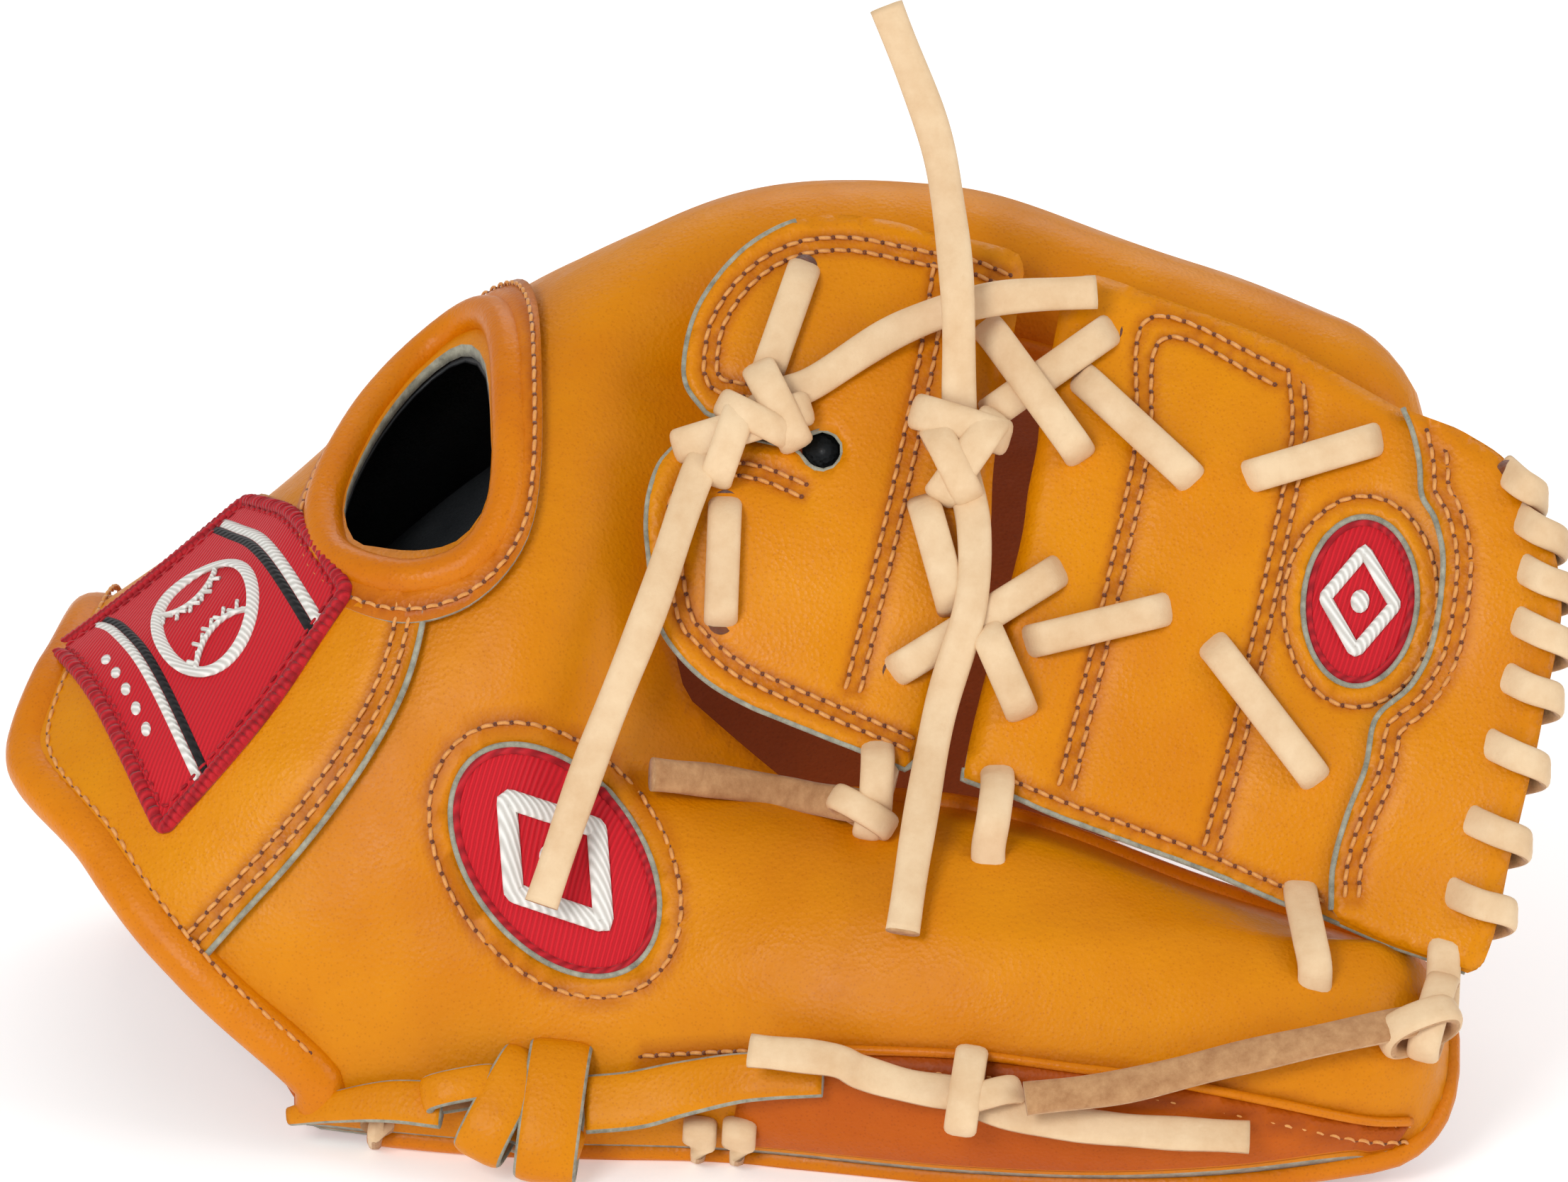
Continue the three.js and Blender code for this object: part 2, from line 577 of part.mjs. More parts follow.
// holes for every lace through the panels
function clearOf(mesh, cutters) {
  let solid = toSolid(mesh);
  for (const cutter of cutters) solid = solid.subtract(cutter);
  const parts = solid.decompose().sort((a, b) => b.volume() - a.volume());
  return fromSolid(mesh.name, parts[0]);
}
const laceHoles = (holes, r) => holes.map(([u, w]) => bore(u, w, r));
const CROSS_HOLES = [[184, 159.2], [200.4, 136.3], [208.4, 159.2], [184, 143.4], [196.6, 114.7], [164.6, 95.5]];
const TIP_HOLES = [[200.9, 150.4], [221.1, 131.4], [231.7, 131.9], [255.4, 138.9], [191.1, 101.6], [216.2, 107.6],
  [224.6, 101.2], [243.3, 76.5]];
const CROTCH_HOLES = [[150, 170.9], [143.2, 151.3], [135.4, 127.1], [134.6, 105.3]];
const crossBores = laceHoles(CROSS_HOLES, 4.2);
const tipBores = laceHoles(TIP_HOLES, 4);
const crotchBores = laceHoles(CROTCH_HOLES, 4.2);
const whipBores = laceHoles(WHIP, 3.1);
add(clearOf(tipPanel, [...crossBores, ...tipBores, ...whipBores]));
add(clearOf(crotchPanel, [...crossBores, ...crotchBores, slot, bore(153.3, 136.8, 3.8)]));
add(clearOf(tipStrap, [...tipBores, ...whipBores]));
add(webOval);
webLaces.forEach(add);
add(whip);

// ---------- trim on the thumb ----------
add(ovalOn(onBack, 104.4, 61.8, 24, 15.5, THREE.MathUtils.degToRad(-52), EASE + 1.8, 1.8, 'thumb_oval'));
const glue = (points, ups, name, width, thick) => add(sweep(name, points, ups, flatSection(width, thick)));
const faceUp = faceOn(MID_U, 0, -1);
const faceUps = (points) => points.map(() => [0, faceUp[1], faceUp[2]]);
const lump = (name, centre, radii, lean) => {
  const ball = new THREE.SphereGeometry(1, 12, 7);
  ball.deleteAttribute('normal');
  ball.deleteAttribute('uv');
  ball.scale(...radii);
  ball.rotateX(LEAN);
  ball.rotateY(THREE.MathUtils.degToRad(lean));
  ball.translate(...centre);
  return namedMesh(name, mergeVertices(ball, 1e-3));
};
const strapLine = (points, steps) => through(points.map(([u, w, lift]) => onBack(u, w, lift)), steps);
const leftEnd = strapLine([[57, 19, 6], [68, 18, 6], [79, 17.5, 7]], 6);
glue(leftEnd, faceUps(leftEnd), 'thumb_strap_left', 10, 3);
add(lump('thumb_strap_knot', onBack(99, 16, 10), [17, 5, 11], 0));
const rightEnd = strapLine([[118.5, 19, 7], [136, 20, 6], [153, 20.4, 6]], 6);
glue(rightEnd, faceUps(rightEnd), 'thumb_strap_right', 10, 3);

// ---------- laces between web and thumb ----------
for (const [name, above, below] of [
  ['web_thumb_lace_inner', [163.3, 86], [162.7, 69]],
  ['web_thumb_lace_middle', [186, 82], [183.4, 64]],
  ['web_thumb_lace_outer', [240.4, 61], [242.2, 43]],
]) {
  const line = through([
    onWeb(above[0], above[1], 1.9),
    onWeb(mix(above[0], below[0], 0.4), mix(above[1], below[1], 0.4), 2.6),
    onBack(mix(above[0], below[0], 0.75), mix(above[1], below[1], 0.75) - 1, 5),
    onBack(below[0], below[1], 3),
  ], 8);
  glue(line, faceUps(line), name, LACE_WIDTH, LACE_THICK);
}

// heel lace under the palm edge, and the laces that tie the finger backs together
const heelLine = through(Array.from({ length: 9 }, (_, i) => {
  const s = mix(1.9, 5.9, i / 8);
  return at(heelU(s) + 7, s, -3);
}), 26);
glue(heelLine, heelLine.map((p, i) => [0, 0.1, -1]), 'heel_lace', 5.4, 2.4);
function overCrease(name, u, from, to) {
  const line = through([0, 0.25, 0.5, 0.75, 1].map((k) => {
    const s = mix(from, to, k);
    const top = Math.max(depthAt(u, s), depthAt(u, from) - 3);
    return at(u, s, top + 2.6);
  }), 10);
  return glue(line, line.map((p, i) => [0, 0, 1]), name, 5, 2);
}
overCrease('finger_lace_index_middle', 236, 4.78, 5.24);
overCrease('finger_lace_ring_pinky', 200, 6.76, 7.24);

// ---------- knots and free lace ends ----------
const KNOTS = {
  knot_a: [onWeb(138.2, 141.5, 5), [6, 4, 5.4], 20],
  knot_b: [onWeb(178.6, 135, 5.6), [5, 4, 5.6], 0],
  knot_c: [onBack(154, 71.5, 7.4), [5, 3.6, 5], 0],
  knot_d: [onBack(263, 30, 7), [6, 4.4, 6.4], 0],
  knot_e: [onBack(179, 18.5, 5.6), [6, 4.2, 4.8], 0],
};
const knotSolids = {};
for (const [name, [centre, radii, lean]] of Object.entries(KNOTS)) {
  const mesh = add(lump(name, centre, radii, lean));
  knotSolids[name] = toSolid(lump(name, centre, radii.map((r) => r + GAP + 0.2), lean));
}
const laceSection = new THREE.Shape(roundSection(2.5, 8).map(([a, b]) => new THREE.Vector2(a, b)));
function tail(name, knot, points) {
  const path = new THREE.CatmullRomCurve3(points.map((p) => new THREE.Vector3(...p)), false, 'centripetal');
  const steps = Math.max(5, Math.round(path.getLength() / 9));
  const tube = new THREE.ExtrudeGeometry(laceSection, { steps, bevelEnabled: false, extrudePath: path });
  tube.deleteAttribute('normal');
  tube.deleteAttribute('uv');
  const mesh = namedMesh(name, mergeVertices(tube, 1e-3));
  return add(clearOf(mesh, [knotSolids[knot]]));
}
tail('tail_a_up', 'knot_a', [onWeb(140, 143, 5), onWeb(146, 147, 6.5), onWeb(152, 149.5, 6.5), onWeb(167.6, 159.2, 9),
  onWeb(184, 164.5, 13), onWeb(203.7, 166, 11)]);
tail('tail_a_down', 'knot_a', [onWeb(136.5, 139, 4.6), onWeb(131, 134, 7.5), onWeb(122, 108, 11), onBack(111, 78, 9),
  onBack(102.1, 52.1, 8)]);
tail('tail_b_up', 'knot_b', [onWeb(178.6, 138, 6), onWeb(178.3, 147, 12), onWeb(178, 164.6, 21), onWeb(176.4, 181, 22),
  onWeb(173.4, 196.2, 23), onWeb(165, 218.4, 25)]);
tail('tail_b_down', 'knot_b', [onWeb(179, 133, 5.5), onWeb(181, 122, 8), onWeb(180.2, 108, 9), onWeb(174.7, 89.1, 8),
  onBack(170.5, 66, 9), onBack(167.6, 48.2, 5)]);
tail('tail_c', 'knot_c', [onBack(154, 71.5, 7.4), onBack(146, 72.5, 6.4), onBack(136, 74.5, 6), onBack(122.5, 76.2, 6)]);
tail('tail_d', 'knot_d', [onBack(260, 29.5, 7), onBack(246, 28, 5.5), onBack(227.2, 24.5, 5), onBack(207, 19, 8),
  onBack(189.5, 16, 12)]);
tail('tail_e_left', 'knot_e', [onBack(178, 18.5, 5.6), onBack(169, 20, 5), onBack(160, 22, 7.5), onBack(154.8, 23.5, 10.5),
  onBack(140, 24.8, 11.5)]);
tail('tail_e_right', 'knot_e', [onBack(180, 17.5, 5.5), onBack(190, 14, 6.5), onBack(208, 11.5, 6.5), onBack(230, 9.6, 7)]);

// the origin sits under the middle of the glove, free lace ends left out
const span = new THREE.Box3();
glove.children.filter((mesh) => !/^(tail|knot)_/.test(mesh.name)).forEach((mesh) => {
  mesh.geometry.computeBoundingBox();
  span.union(mesh.geometry.boundingBox);
});
const middle = span.getCenter(new THREE.Vector3());
glove.children.forEach((mesh) => mesh.geometry.translate(-middle.x, -middle.y, -span.min.z));

export default glove;
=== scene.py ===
import math

import bmesh
import bpy
import numpy as np
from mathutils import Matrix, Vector
from mathutils.geometry import delaunay_2d_cdt


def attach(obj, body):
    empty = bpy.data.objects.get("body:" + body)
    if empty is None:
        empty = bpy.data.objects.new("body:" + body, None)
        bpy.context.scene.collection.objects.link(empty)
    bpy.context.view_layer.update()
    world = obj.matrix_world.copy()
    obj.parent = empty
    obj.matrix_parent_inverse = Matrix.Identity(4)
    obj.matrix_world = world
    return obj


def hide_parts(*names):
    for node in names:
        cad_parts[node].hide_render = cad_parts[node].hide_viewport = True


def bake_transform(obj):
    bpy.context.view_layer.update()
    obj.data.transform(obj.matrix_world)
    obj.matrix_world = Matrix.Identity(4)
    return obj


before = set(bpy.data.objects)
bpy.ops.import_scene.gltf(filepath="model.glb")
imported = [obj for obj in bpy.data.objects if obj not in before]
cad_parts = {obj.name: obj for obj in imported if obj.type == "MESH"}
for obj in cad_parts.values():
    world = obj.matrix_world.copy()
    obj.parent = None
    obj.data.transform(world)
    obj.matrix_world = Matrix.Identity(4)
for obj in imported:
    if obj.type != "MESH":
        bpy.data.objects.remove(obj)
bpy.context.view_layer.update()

# ---------- driving dimensions, millimetres ----------
LEAN = math.radians(20)
MID = np.array([145.5 + 1.862, 100.485, 0.0])     # the CAD origin in glove coordinates
STATION = 45.0
PALM = np.array([
    [[50, 7], [58, 18], [66, 29], [76, 36], [88, 40], [100, 40], [112, 32], [120, 20], [124, 7]],
    [[36, 7], [47, 24], [60, 41], [74, 54], [92, 62], [110, 62], [126, 50], [137, 29], [142, 7]],
    [[27, 7], [43, 28], [58, 51], [76, 76], [98, 96], [120, 96], [141, 80], [155, 48], [163, 7]],
    [[25, 7], [42, 31], [56, 55], [77, 90], [101, 122], [125, 120], [147, 99], [163, 62], [173, 7]],
    [[15, 7], [34, 32], [47, 57], [75, 98], [103, 129], [127, 121], [150, 98], [168, 60], [179, 7]],
    [[9, 7], [27, 26], [41, 43], [65, 82], [96, 118], [120, 108], [143, 86], [161, 52], [172, 7]],
    [[13, 9], [29, 20], [40, 28], [62, 68], [88, 105], [109, 96], [129, 68], [148, 40], [158, 7]],
], float)
THUMB_DEPTH = np.array([14, 17, 24, 28, 28, 25, 22], float)
FINGER_DEPTH = np.array([24, 32, 34, 30, 27, 25, 23], float)
WRIST_U = np.array([58, 33, 17, 3, 7, 12, 12, 13, 24], float)
HEEL_U = np.array([58, 44, 34, 28, 26, 24, 20, 14, 24], float)
TIP_R = 15.0          # how far the rounding of a stall end reaches back
EDGE = 3.6            # height of a stall's rim over the palm surface
SPREAD = 22.0         # millimetres of surface for one step of arch position
ARCH_LOW, ARCH_HIGH = -0.28, 8.28            # arch positions of the thumb edge and the little-finger edge
THUMB_END, INDEX_LOW, INDEX_HIGH = 2.02, 3.99, 4.995
BACK_T, PALM_T, WEB_T, STRAP_T = 2.6, 2.2, 3.6, 2.8     # leather thicknesses
WEB_TOP = 4.4         # how far the web panels' face stands off the web surface
TOP_STATION = 6.6     # the palm table is not read past this station
CAMERA_AWAY = 1612    # from the camera to the point it looks at
LACE_W, LACE_T = 6.3, 2.9
THUMB_TIP, INDEX_TIP, MIDDLE_TIP, RING_TIP, PINKY_TIP = 268.0, 268.0, 266.0, 246.0, 217.0
COS, SIN = math.cos(LEAN), math.sin(LEAN)


# ---------- surfaces ----------
def padded_table(table, axis):
    first = 2 * np.take(table, [0], axis) - np.take(table, [1], axis)
    last = 2 * np.take(table, [-1], axis) - np.take(table, [-2], axis)
    return np.concatenate([first, table, last], axis)


def weights(x, count):
    """Catmull-Rom weights of the four table entries around x, and straight lines past either end."""
    i = np.clip(np.floor(x).astype(int), 0, count - 2)
    k = x - i
    w = np.stack([
        0.5 * (-k + 2 * k ** 2 - k ** 3),
        0.5 * (2 - 5 * k ** 2 + 3 * k ** 3),
        0.5 * (k + 4 * k ** 2 - 3 * k ** 3),
        0.5 * (k ** 3 - k ** 2)], -1)
    past_end = (x < 0) | (x > count - 1)
    return i, np.where(past_end[..., None], np.stack([0 * k, 1 - k, k, 0 * k], -1), w)


def curve(table, x):
    x = np.asarray(x, float)
    full = padded_table(np.asarray(table, float), 0)
    i, w = weights(x, len(table))
    return sum(full[i + n] * w[..., n] for n in range(4))


PALM_FULL = padded_table(padded_table(PALM, 0), 1)


def palm(u, s):
    i, wi = weights(np.clip(u / STATION, 0, TOP_STATION), len(PALM))
    j, wj = weights(np.asarray(s, float), len(PALM[0]))
    out = 0
    for a in range(4):
        for b in range(4):
            out = out + PALM_FULL[i + a, j + b] * (wi[..., a] * wj[..., b])[..., None]
    return out


def smooth(a, b, x):
    k = np.clip((x - a) / (b - a), 0, 1)
    return k * k * (3 - 2 * k)


def bump(s, a, b, power=0.55):
    return np.sin(np.pi * np.clip((s - a) / (b - a), 0, 1)) ** power


def depth(u, s):
    """Height of the outside of the glove over its palm surface."""
    st = u / STATION
    finger, thumb = curve(FINGER_DEPTH, st), curve(THUMB_DEPTH, st)
    span = np.clip((s + 0.25) / 8.5, 0, 1)
    hand = 5 + (finger - 5) * np.sin(np.pi * span) ** 0.6
    stall = EDGE + 0 * hand
    low = s <= 2
    stall = np.where(low, EDGE + (thumb - EDGE) * bump(s, -0.3, 2.02, 0.5), stall)
    k = np.clip(np.floor(s), 4, 7)
    end = np.where(k == 7, 8.3, k + 1)
    stall = np.where(s >= 4, EDGE + (finger - EDGE) * bump(s, k, end, 0.5), stall)
    m = smooth(96, 150, u)
    return hand * (1 - m) + stall * m


def tip_factor(u, s):
    """Falls to nothing along the rounded end of whichever stall s lies in."""
    pick = [s < 3, s < 5, s < 6, s < 7]
    tip = np.select(pick, [THUMB_TIP, INDEX_TIP, MIDDLE_TIP, RING_TIP], PINKY_TIP)
    low = np.select(pick, [ARCH_LOW, INDEX_LOW, 5.0, 6.0], 7.0)
    high = np.select(pick, [THUMB_END, INDEX_HIGH, 6.0, 7.0], ARCH_HIGH)
    q = np.clip(np.abs(s - (low + high) / 2) / ((high - low) / 2), 0, 1) ** 1.25
    rim = tip - TIP_R + TIP_R * np.sqrt(1 - q * q) ** 0.8
    k = np.clip((u - (rim - 16)) / 16, 0, 1)
    return np.sqrt(np.maximum(0.0, 1 - k * k))


def outside(u, s):
    d = depth(u, s)
    return EDGE + (d - EDGE) * tip_factor(u, s)


def on_palm(p, lift):
    """p holds u and stretched arch position; lift is measured outward from the palm surface."""
    u, s = p[..., 0], p[..., 1] / SPREAD
    base = palm(u, s)
    d = palm(u, s + 0.12) - palm(u, s - 0.12)
    d /= np.linalg.norm(d, axis=-1, keepdims=True)
    y = base[..., 0] - d[..., 1] * lift
    z = base[..., 1] + d[..., 0] * lift
    return np.stack([u, y, np.maximum(z, 0.25)], -1)


def wrinkle(u, s):
    """Slow dents and folds of broken-in leather."""
    a = np.sin(u * 0.061 + 2.1 * s) * np.cos(s * 3.3 - u * 0.023)
    b = np.sin(u * 0.13 - 1.7 * s + 1.0) * np.sin(s * 5.1 + 0.6)
    return 0.55 * a + 0.28 * b


def on_back(p, lift):
    u, s = p[..., 0], p[..., 1] / SPREAD
    return on_palm(p, outside(u, s) + wrinkle(u, s) + lift)


def face_on(u, w, t):
    return np.stack([u + 0 * w, t * COS + w * SIN, -t * SIN + w * COS], -1)


def web_depth(u, w):
    belly = 5 * np.sin(np.pi * np.clip((w - 60) / 110, 0, 1))
    return 3 - 3 * (1 - smooth(66, 98, w)) + 0.19 * w - belly - 3 * smooth(245, 290, u)


def on_web(p, lift):
    u, w = p[..., 0], p[..., 1]
    soft = 0.5 * np.sin(u * 0.09 + w * 0.05) * np.sin(w * 0.11 - u * 0.03)
    return face_on(u, w, web_depth(u, w) - lift - soft)


ARCH_S = np.linspace(ARCH_LOW, 5.2, 150)     # from the thumb edge to past the top ridge


def arch_at(u, w):
    """Arch position (stretched) of the back that is seen at height w of the web face."""
    u, w = np.atleast_1d(np.asarray(u, float)), np.atleast_1d(np.asarray(w, float))
    uu, ss = np.repeat(u[:, None], len(ARCH_S), 1), np.repeat(ARCH_S[None], len(u), 0)
    p = on_back(np.stack([uu, ss * SPREAD], -1), 0)
    h = p[..., 1] * SIN + p[..., 2] * COS
    h = np.maximum.accumulate(h, 1)
    out = np.empty(len(u))
    for n in range(len(u)):
        out[n] = np.interp(w[n], h[n] + np.arange(len(ARCH_S)) * 1e-7, ARCH_S)
    return np.stack([u, out * SPREAD], -1)


def back_line(points):
    p = np.array(points, float)
    return arch_at(p[:, 0], p[:, 1])


# ---------- lines and outlines ----------
def looped(line):
    return np.vstack([line, line[:1]])


def resample(line, step, closed=False):
    line = looped(np.asarray(line, float)) if closed else np.asarray(line, float)
    seg = np.linalg.norm(np.diff(line, axis=0), axis=1)
    at = np.concatenate([[0], np.cumsum(seg)])
    n = max(2, int(round(at[-1] / step)) + 1)
    t = np.linspace(0, at[-1], n)
    out = np.stack([np.interp(t, at, line[:, k]) for k in range(line.shape[1])], -1)
    return out[:-1] if closed else out


def spline(points, step=1.0, closed=False):
    """A Catmull-Rom curve through the points, evenly resampled."""
    p = np.asarray(points, float)
    if len(p) < 3 and not closed:
        return resample(p, step)
    ext = np.vstack([p[-1:], p, p[:2]]) if closed else np.vstack([2 * p[0] - p[1], p, 2 * p[-1] - p[-2]])
    out = []
    k = np.linspace(0, 1, 13)[:-1, None]
    for i in range(len(ext) - 3):
        a, b, c, d = ext[i:i + 4]
        out.append(0.5 * (2 * b + (c - a) * k + (2 * a - 5 * b + 4 * c - d) * k ** 2
                          + (3 * b - a - 3 * c + d) * k ** 3))
    if not closed:
        out.append(p[-1:])
    return resample(np.vstack(out), step, closed)


def inside(p, poly):
    x, y = p[:, 0], p[:, 1]
    hit = np.zeros(len(p), bool)
    a, b = poly, np.roll(poly, -1, 0)
    for (x0, y0), (x1, y1) in zip(a, b):
        if y0 == y1:
            continue
        cross = (y0 > y) != (y1 > y)
        hit ^= cross & (x < x0 + (y - y0) * (x1 - x0) / (y1 - y0))
    return hit


def distance(p, line, closed=False):
    line = np.asarray(line, float)
    a = line
    b = np.roll(line, -1, 0)
    if not closed:
        a, b = a[:-1], b[:-1]
    best = np.full(len(p), 1e9)
    for q, r in zip(a, b):
        d = r - q
        t = np.clip(((p - q) @ d) / max(d @ d, 1e-9), 0, 1)
        best = np.minimum(best, np.linalg.norm(p - q - t[:, None] * d, axis=1))
    return best


# ---------- mesh making ----------
def make_mesh(name, verts, faces, materials, index=None, seam=None):
    name = name.replace(" ", "_")
    me = bpy.data.meshes.new(name)
    v = np.array(verts, float)
    v[:, 2] = np.maximum(v[:, 2], 0.3)
    v = (v - MID) / 1000.0
    me.from_pydata(v.tolist(), [], [tuple(int(i) for i in f) for f in faces])
    for m in materials:
        me.materials.append(m)
    if index is not None:
        me.polygons.foreach_set("material_index", np.asarray(index, np.int32))
    # the seam attribute carries the painted shade of the sewn grooves to the leather shader
    if seam is not None:
        at = me.attributes.new("seam", "FLOAT", "POINT")
        at.data.foreach_set("value", np.asarray(seam, np.float32))
    bm = bmesh.new()
    bm.from_mesh(me)
    bmesh.ops.recalc_face_normals(bm, faces=bm.faces)
    bm.to_mesh(me)
    bm.free()
    me.polygons.foreach_set("use_smooth", np.ones(len(me.polygons), bool))
    me.update()
    ob = bpy.data.objects.new(name, me)
    bpy.context.scene.collection.objects.link(ob)
    return ob


def sheet(name, outline, place, step, thick, materials, holes=(), roll=(), roll_r=3.0, grooves=(), puff=0.0,
          top_lift=0.0, edge_round=0.45):
    """A closed leather piece cut to an outline. roll: lines where the edge is folded over, so it is
    round. grooves: sewn lines, with the leather puffed between them and painted shade along them."""
    edge = resample(outline, step, True)
    rims = [resample(h, step, True) for h in holes]

    def in_leather(p):
        keep = inside(p, edge)
        for rim in rims:
            keep &= ~inside(p, rim)
        return keep

    def from_edge(p):
        return np.min([distance(p, loop, True) for loop in [edge] + rims], 0)

    lo, hi = edge.min(0), edge.max(0)
    nx, ny = int((hi[0] - lo[0]) / step) + 2, int((hi[1] - lo[1]) / (step * 0.866)) + 2
    gx, gy = np.meshgrid(np.arange(nx), np.arange(ny), indexing="ij")
    grid = np.stack([lo[0] + (gx + 0.5 * (gy % 2)) * step, lo[1] + gy * step * 0.866], -1).reshape(-1, 2)
    grid = grid[in_leather(grid)]
    grid = grid[from_edge(grid) > step * 0.55]
    loops = [edge] + rims
    points = np.vstack(loops + [grid])
    edges, start = [], 0
    for loop in loops:
        n = len(loop)
        edges += [(start + i, start + (i + 1) % n) for i in range(n)]
        start += n
    out = delaunay_2d_cdt([Vector(p) for p in points], edges, [], 1, 1e-5, False)
    flat = np.array([tuple(v) for v in out[0]])
    tris = np.array([f for f in out[2] if len(f) == 3])
    tris = tris[in_leather(flat[tris].mean(1))]
    lift = np.full(len(flat), float(top_lift))
    low = lift - thick
    k = np.clip(1 - from_edge(flat) / edge_round, 0, 1)
    lift -= edge_round * 0.8 * (1 - np.sqrt(1 - k * k))
    for line in roll:
        k = np.clip(1 - distance(flat, line) / roll_r, 0, 1)
        drop = roll_r * (1 - np.sqrt(np.maximum(0, 1 - k * k)))
        lift -= np.minimum(drop, thick * 0.62)
        low += np.minimum(drop, thick * 0.38)
    seam = np.zeros(len(flat))
    if grooves:
        d = np.min([distance(flat, groove) for groove in grooves], 0)
        lift += puff * (1 - np.exp(-d / 3.0)) - puff * 0.5 - 0.42 * np.exp(-(d / 0.75) ** 2)
        # seam: a mask along the sewn grooves, where the leather colour is painted darker as shade
        seam = np.exp(-(d / 1.3) ** 2)
    n = len(flat)
    verts = np.vstack([place(flat, lift), place(flat, low)])
    count = {}
    for t in tris:
        for a, b in ((t[0], t[1]), (t[1], t[2]), (t[2], t[0])):
            key = (min(a, b), max(a, b))
            count[key] = None if key in count else (a, b)
    walls = [e for e in count.values() if e is not None]
    faces = [tuple(t) for t in tris] + [(t[2] + n, t[1] + n, t[0] + n) for t in tris]
    faces += [(b, a, a + n, b + n) for a, b in walls]
    last = len(materials) - 1
    wall_mid = np.array([(flat[a] + flat[b]) / 2 for a, b in walls])
    wall_m = np.full(len(walls), min(1, last))
    for line in roll:
        wall_m[distance(wall_mid, line) < 0.6] = 0
    index = np.concatenate([np.zeros(len(tris), int), np.full(len(tris), min(2, last)), wall_m])
    return make_mesh(name, verts, faces, materials, index, np.concatenate([seam, seam * 0]))


def frames(points, ups, closed=False):
    p = np.asarray(points, float)
    if closed:
        t = np.roll(p, -1, 0) - np.roll(p, 1, 0)
    else:
        t = np.gradient(p, axis=0)
    t /= np.linalg.norm(t, axis=1, keepdims=True) + 1e-9
    side = np.cross(t, ups)
    side /= np.linalg.norm(side, axis=1, keepdims=True) + 1e-9
    up = np.cross(side, t)
    return t, side, up


def sweep(name, points, ups, width, thick, materials, closed=False, square=0.55, edge_cut=0.93, around=16):
    """A strip with a rounded section; faces on its two edges take the second material, its back the third."""
    p = np.asarray(points, float)
    n = len(p)
    _, side, up = frames(p, ups, closed)
    width = np.broadcast_to(width, n)
    thick = np.broadcast_to(thick, n)
    a = (np.arange(around) + 0.5) * 2 * np.pi / around
    cx = np.sign(np.cos(a)) * np.abs(np.cos(a)) ** square
    cy = np.sign(np.sin(a)) * np.abs(np.sin(a)) ** min(1, square * 1.7)
    ring = (p[:, None] + side[:, None] * (cx[None, :, None] * width[:, None, None] / 2)
            + up[:, None] * (cy[None, :, None] * thick[:, None, None] / 2))
    verts = ring.reshape(-1, 3)
    faces, index = [], []
    spans = n if closed else n - 1
    last = len(materials) - 1
    am = (np.arange(around) + 1) * 2 * np.pi / around
    kind = np.where(np.abs(np.cos(am)) > edge_cut, 1, np.where(np.sin(am) < 0, 2, 0))
    for i in range(spans):
        m = (i + 1) % n
        for j in range(around):
            k = (j + 1) % around
            faces.append((i * around + j, i * around + k, m * around + k, m * around + j))
            index.append(min(kind[j], last))
    if not closed:
        faces.append(tuple(range(around))[::-1])
        faces.append(tuple((n - 1) * around + j for j in range(around)))
        index += [min(1, last)] * 2
    return make_mesh(name, verts, faces, materials, index)


def join(name, objects):
    bpy.ops.object.select_all(action="DESELECT")
    for o in objects:
        o.select_set(True)
    bpy.context.view_layer.objects.active = objects[0]
    bpy.ops.object.join()
    objects[0].name = name
    objects[0].data.name = name
    return objects[0]


def up_of(place, p):
    d = place(p, 1.0) - place(p, 0.0)
    return d / (np.linalg.norm(d, axis=-1, keepdims=True) + 1e-9)


def stitches(name, rows, place, materials, pitch=3.05, fat=0.36):
    """Rows of single stitches, each one a small arched thread that dips into its two needle holes."""
    verts, faces, index = [], [], []
    base = 0
    prof = np.array([-0.5, 0.18, 0.36, 0.36, 0.18, -0.5])
    for row in rows:
        line = resample(np.asarray(row, float), 0.4)
        pos = place(line, np.zeros(len(line)))
        at = np.concatenate([[0], np.cumsum(np.linalg.norm(np.diff(pos, axis=0), axis=1))])
        n = max(1, int(round(at[-1] / pitch)))
        p = at[-1] / n

        def point(t, lift):
            q = np.stack([np.interp(t, at, line[:, 0]), np.interp(t, at, line[:, 1])], -1)
            return place(q, lift + 0 * t), q
        for i in range(n):
            t = i * p + p * np.linspace(0.07, 0.93, 6)
            c, q = point(t, prof)
            up = up_of(place, q)
            _, side, up = frames(c, up)
            skew = np.linspace(-0.12, 0.12, 6)[:, None]
            a = np.arange(6) * np.pi / 3
            r = fat * np.array([0.7, 1, 1.05, 1.05, 1, 0.7])
            section = side[:, None] * np.cos(a)[None, :, None] + up[:, None] * 0.8 * np.sin(a)[None, :, None]
            ring = (c + side * skew)[:, None] + section * r[:, None, None]
            verts.append(ring.reshape(-1, 3))
            for m in range(5):
                for j in range(6):
                    k = (j + 1) % 6
                    low = base + m * 6
                    faces.append((low + j, low + k, low + 6 + k, low + 6 + j))
                    index.append(0)
            faces.append(tuple(base + j for j in range(6))[::-1])
            faces.append(tuple(base + 30 + j for j in range(6)))
            index += [0, 0]
            base += 36
            # each needle hole: a dark disc over a small cone, painted shade of the hole
            h, hq = point(np.array([i * p, i * p]), np.array([0.02, -0.6]))
            hup = up_of(place, hq)
            _, hs, hu = frames(point(np.array([i * p, i * p + 0.3]), 0.0)[0], hup)
            d = np.cross(hs[0], hu[0])
            disc = [h[0] + 0.46 * (hs[0] * math.cos(x) + d * math.sin(x)) for x in a]
            cone = h[0] - hu[0] * 0.5
            verts.append(np.array(disc + [cone]))
            faces.append(tuple(base + j for j in range(6)))
            index.append(1)
            for j in range(6):
                faces.append((base + (j + 1) % 6, base + j, base + 6))
                index.append(1)
            base += 7
    return make_mesh(name, np.vstack(verts), faces, materials, index)


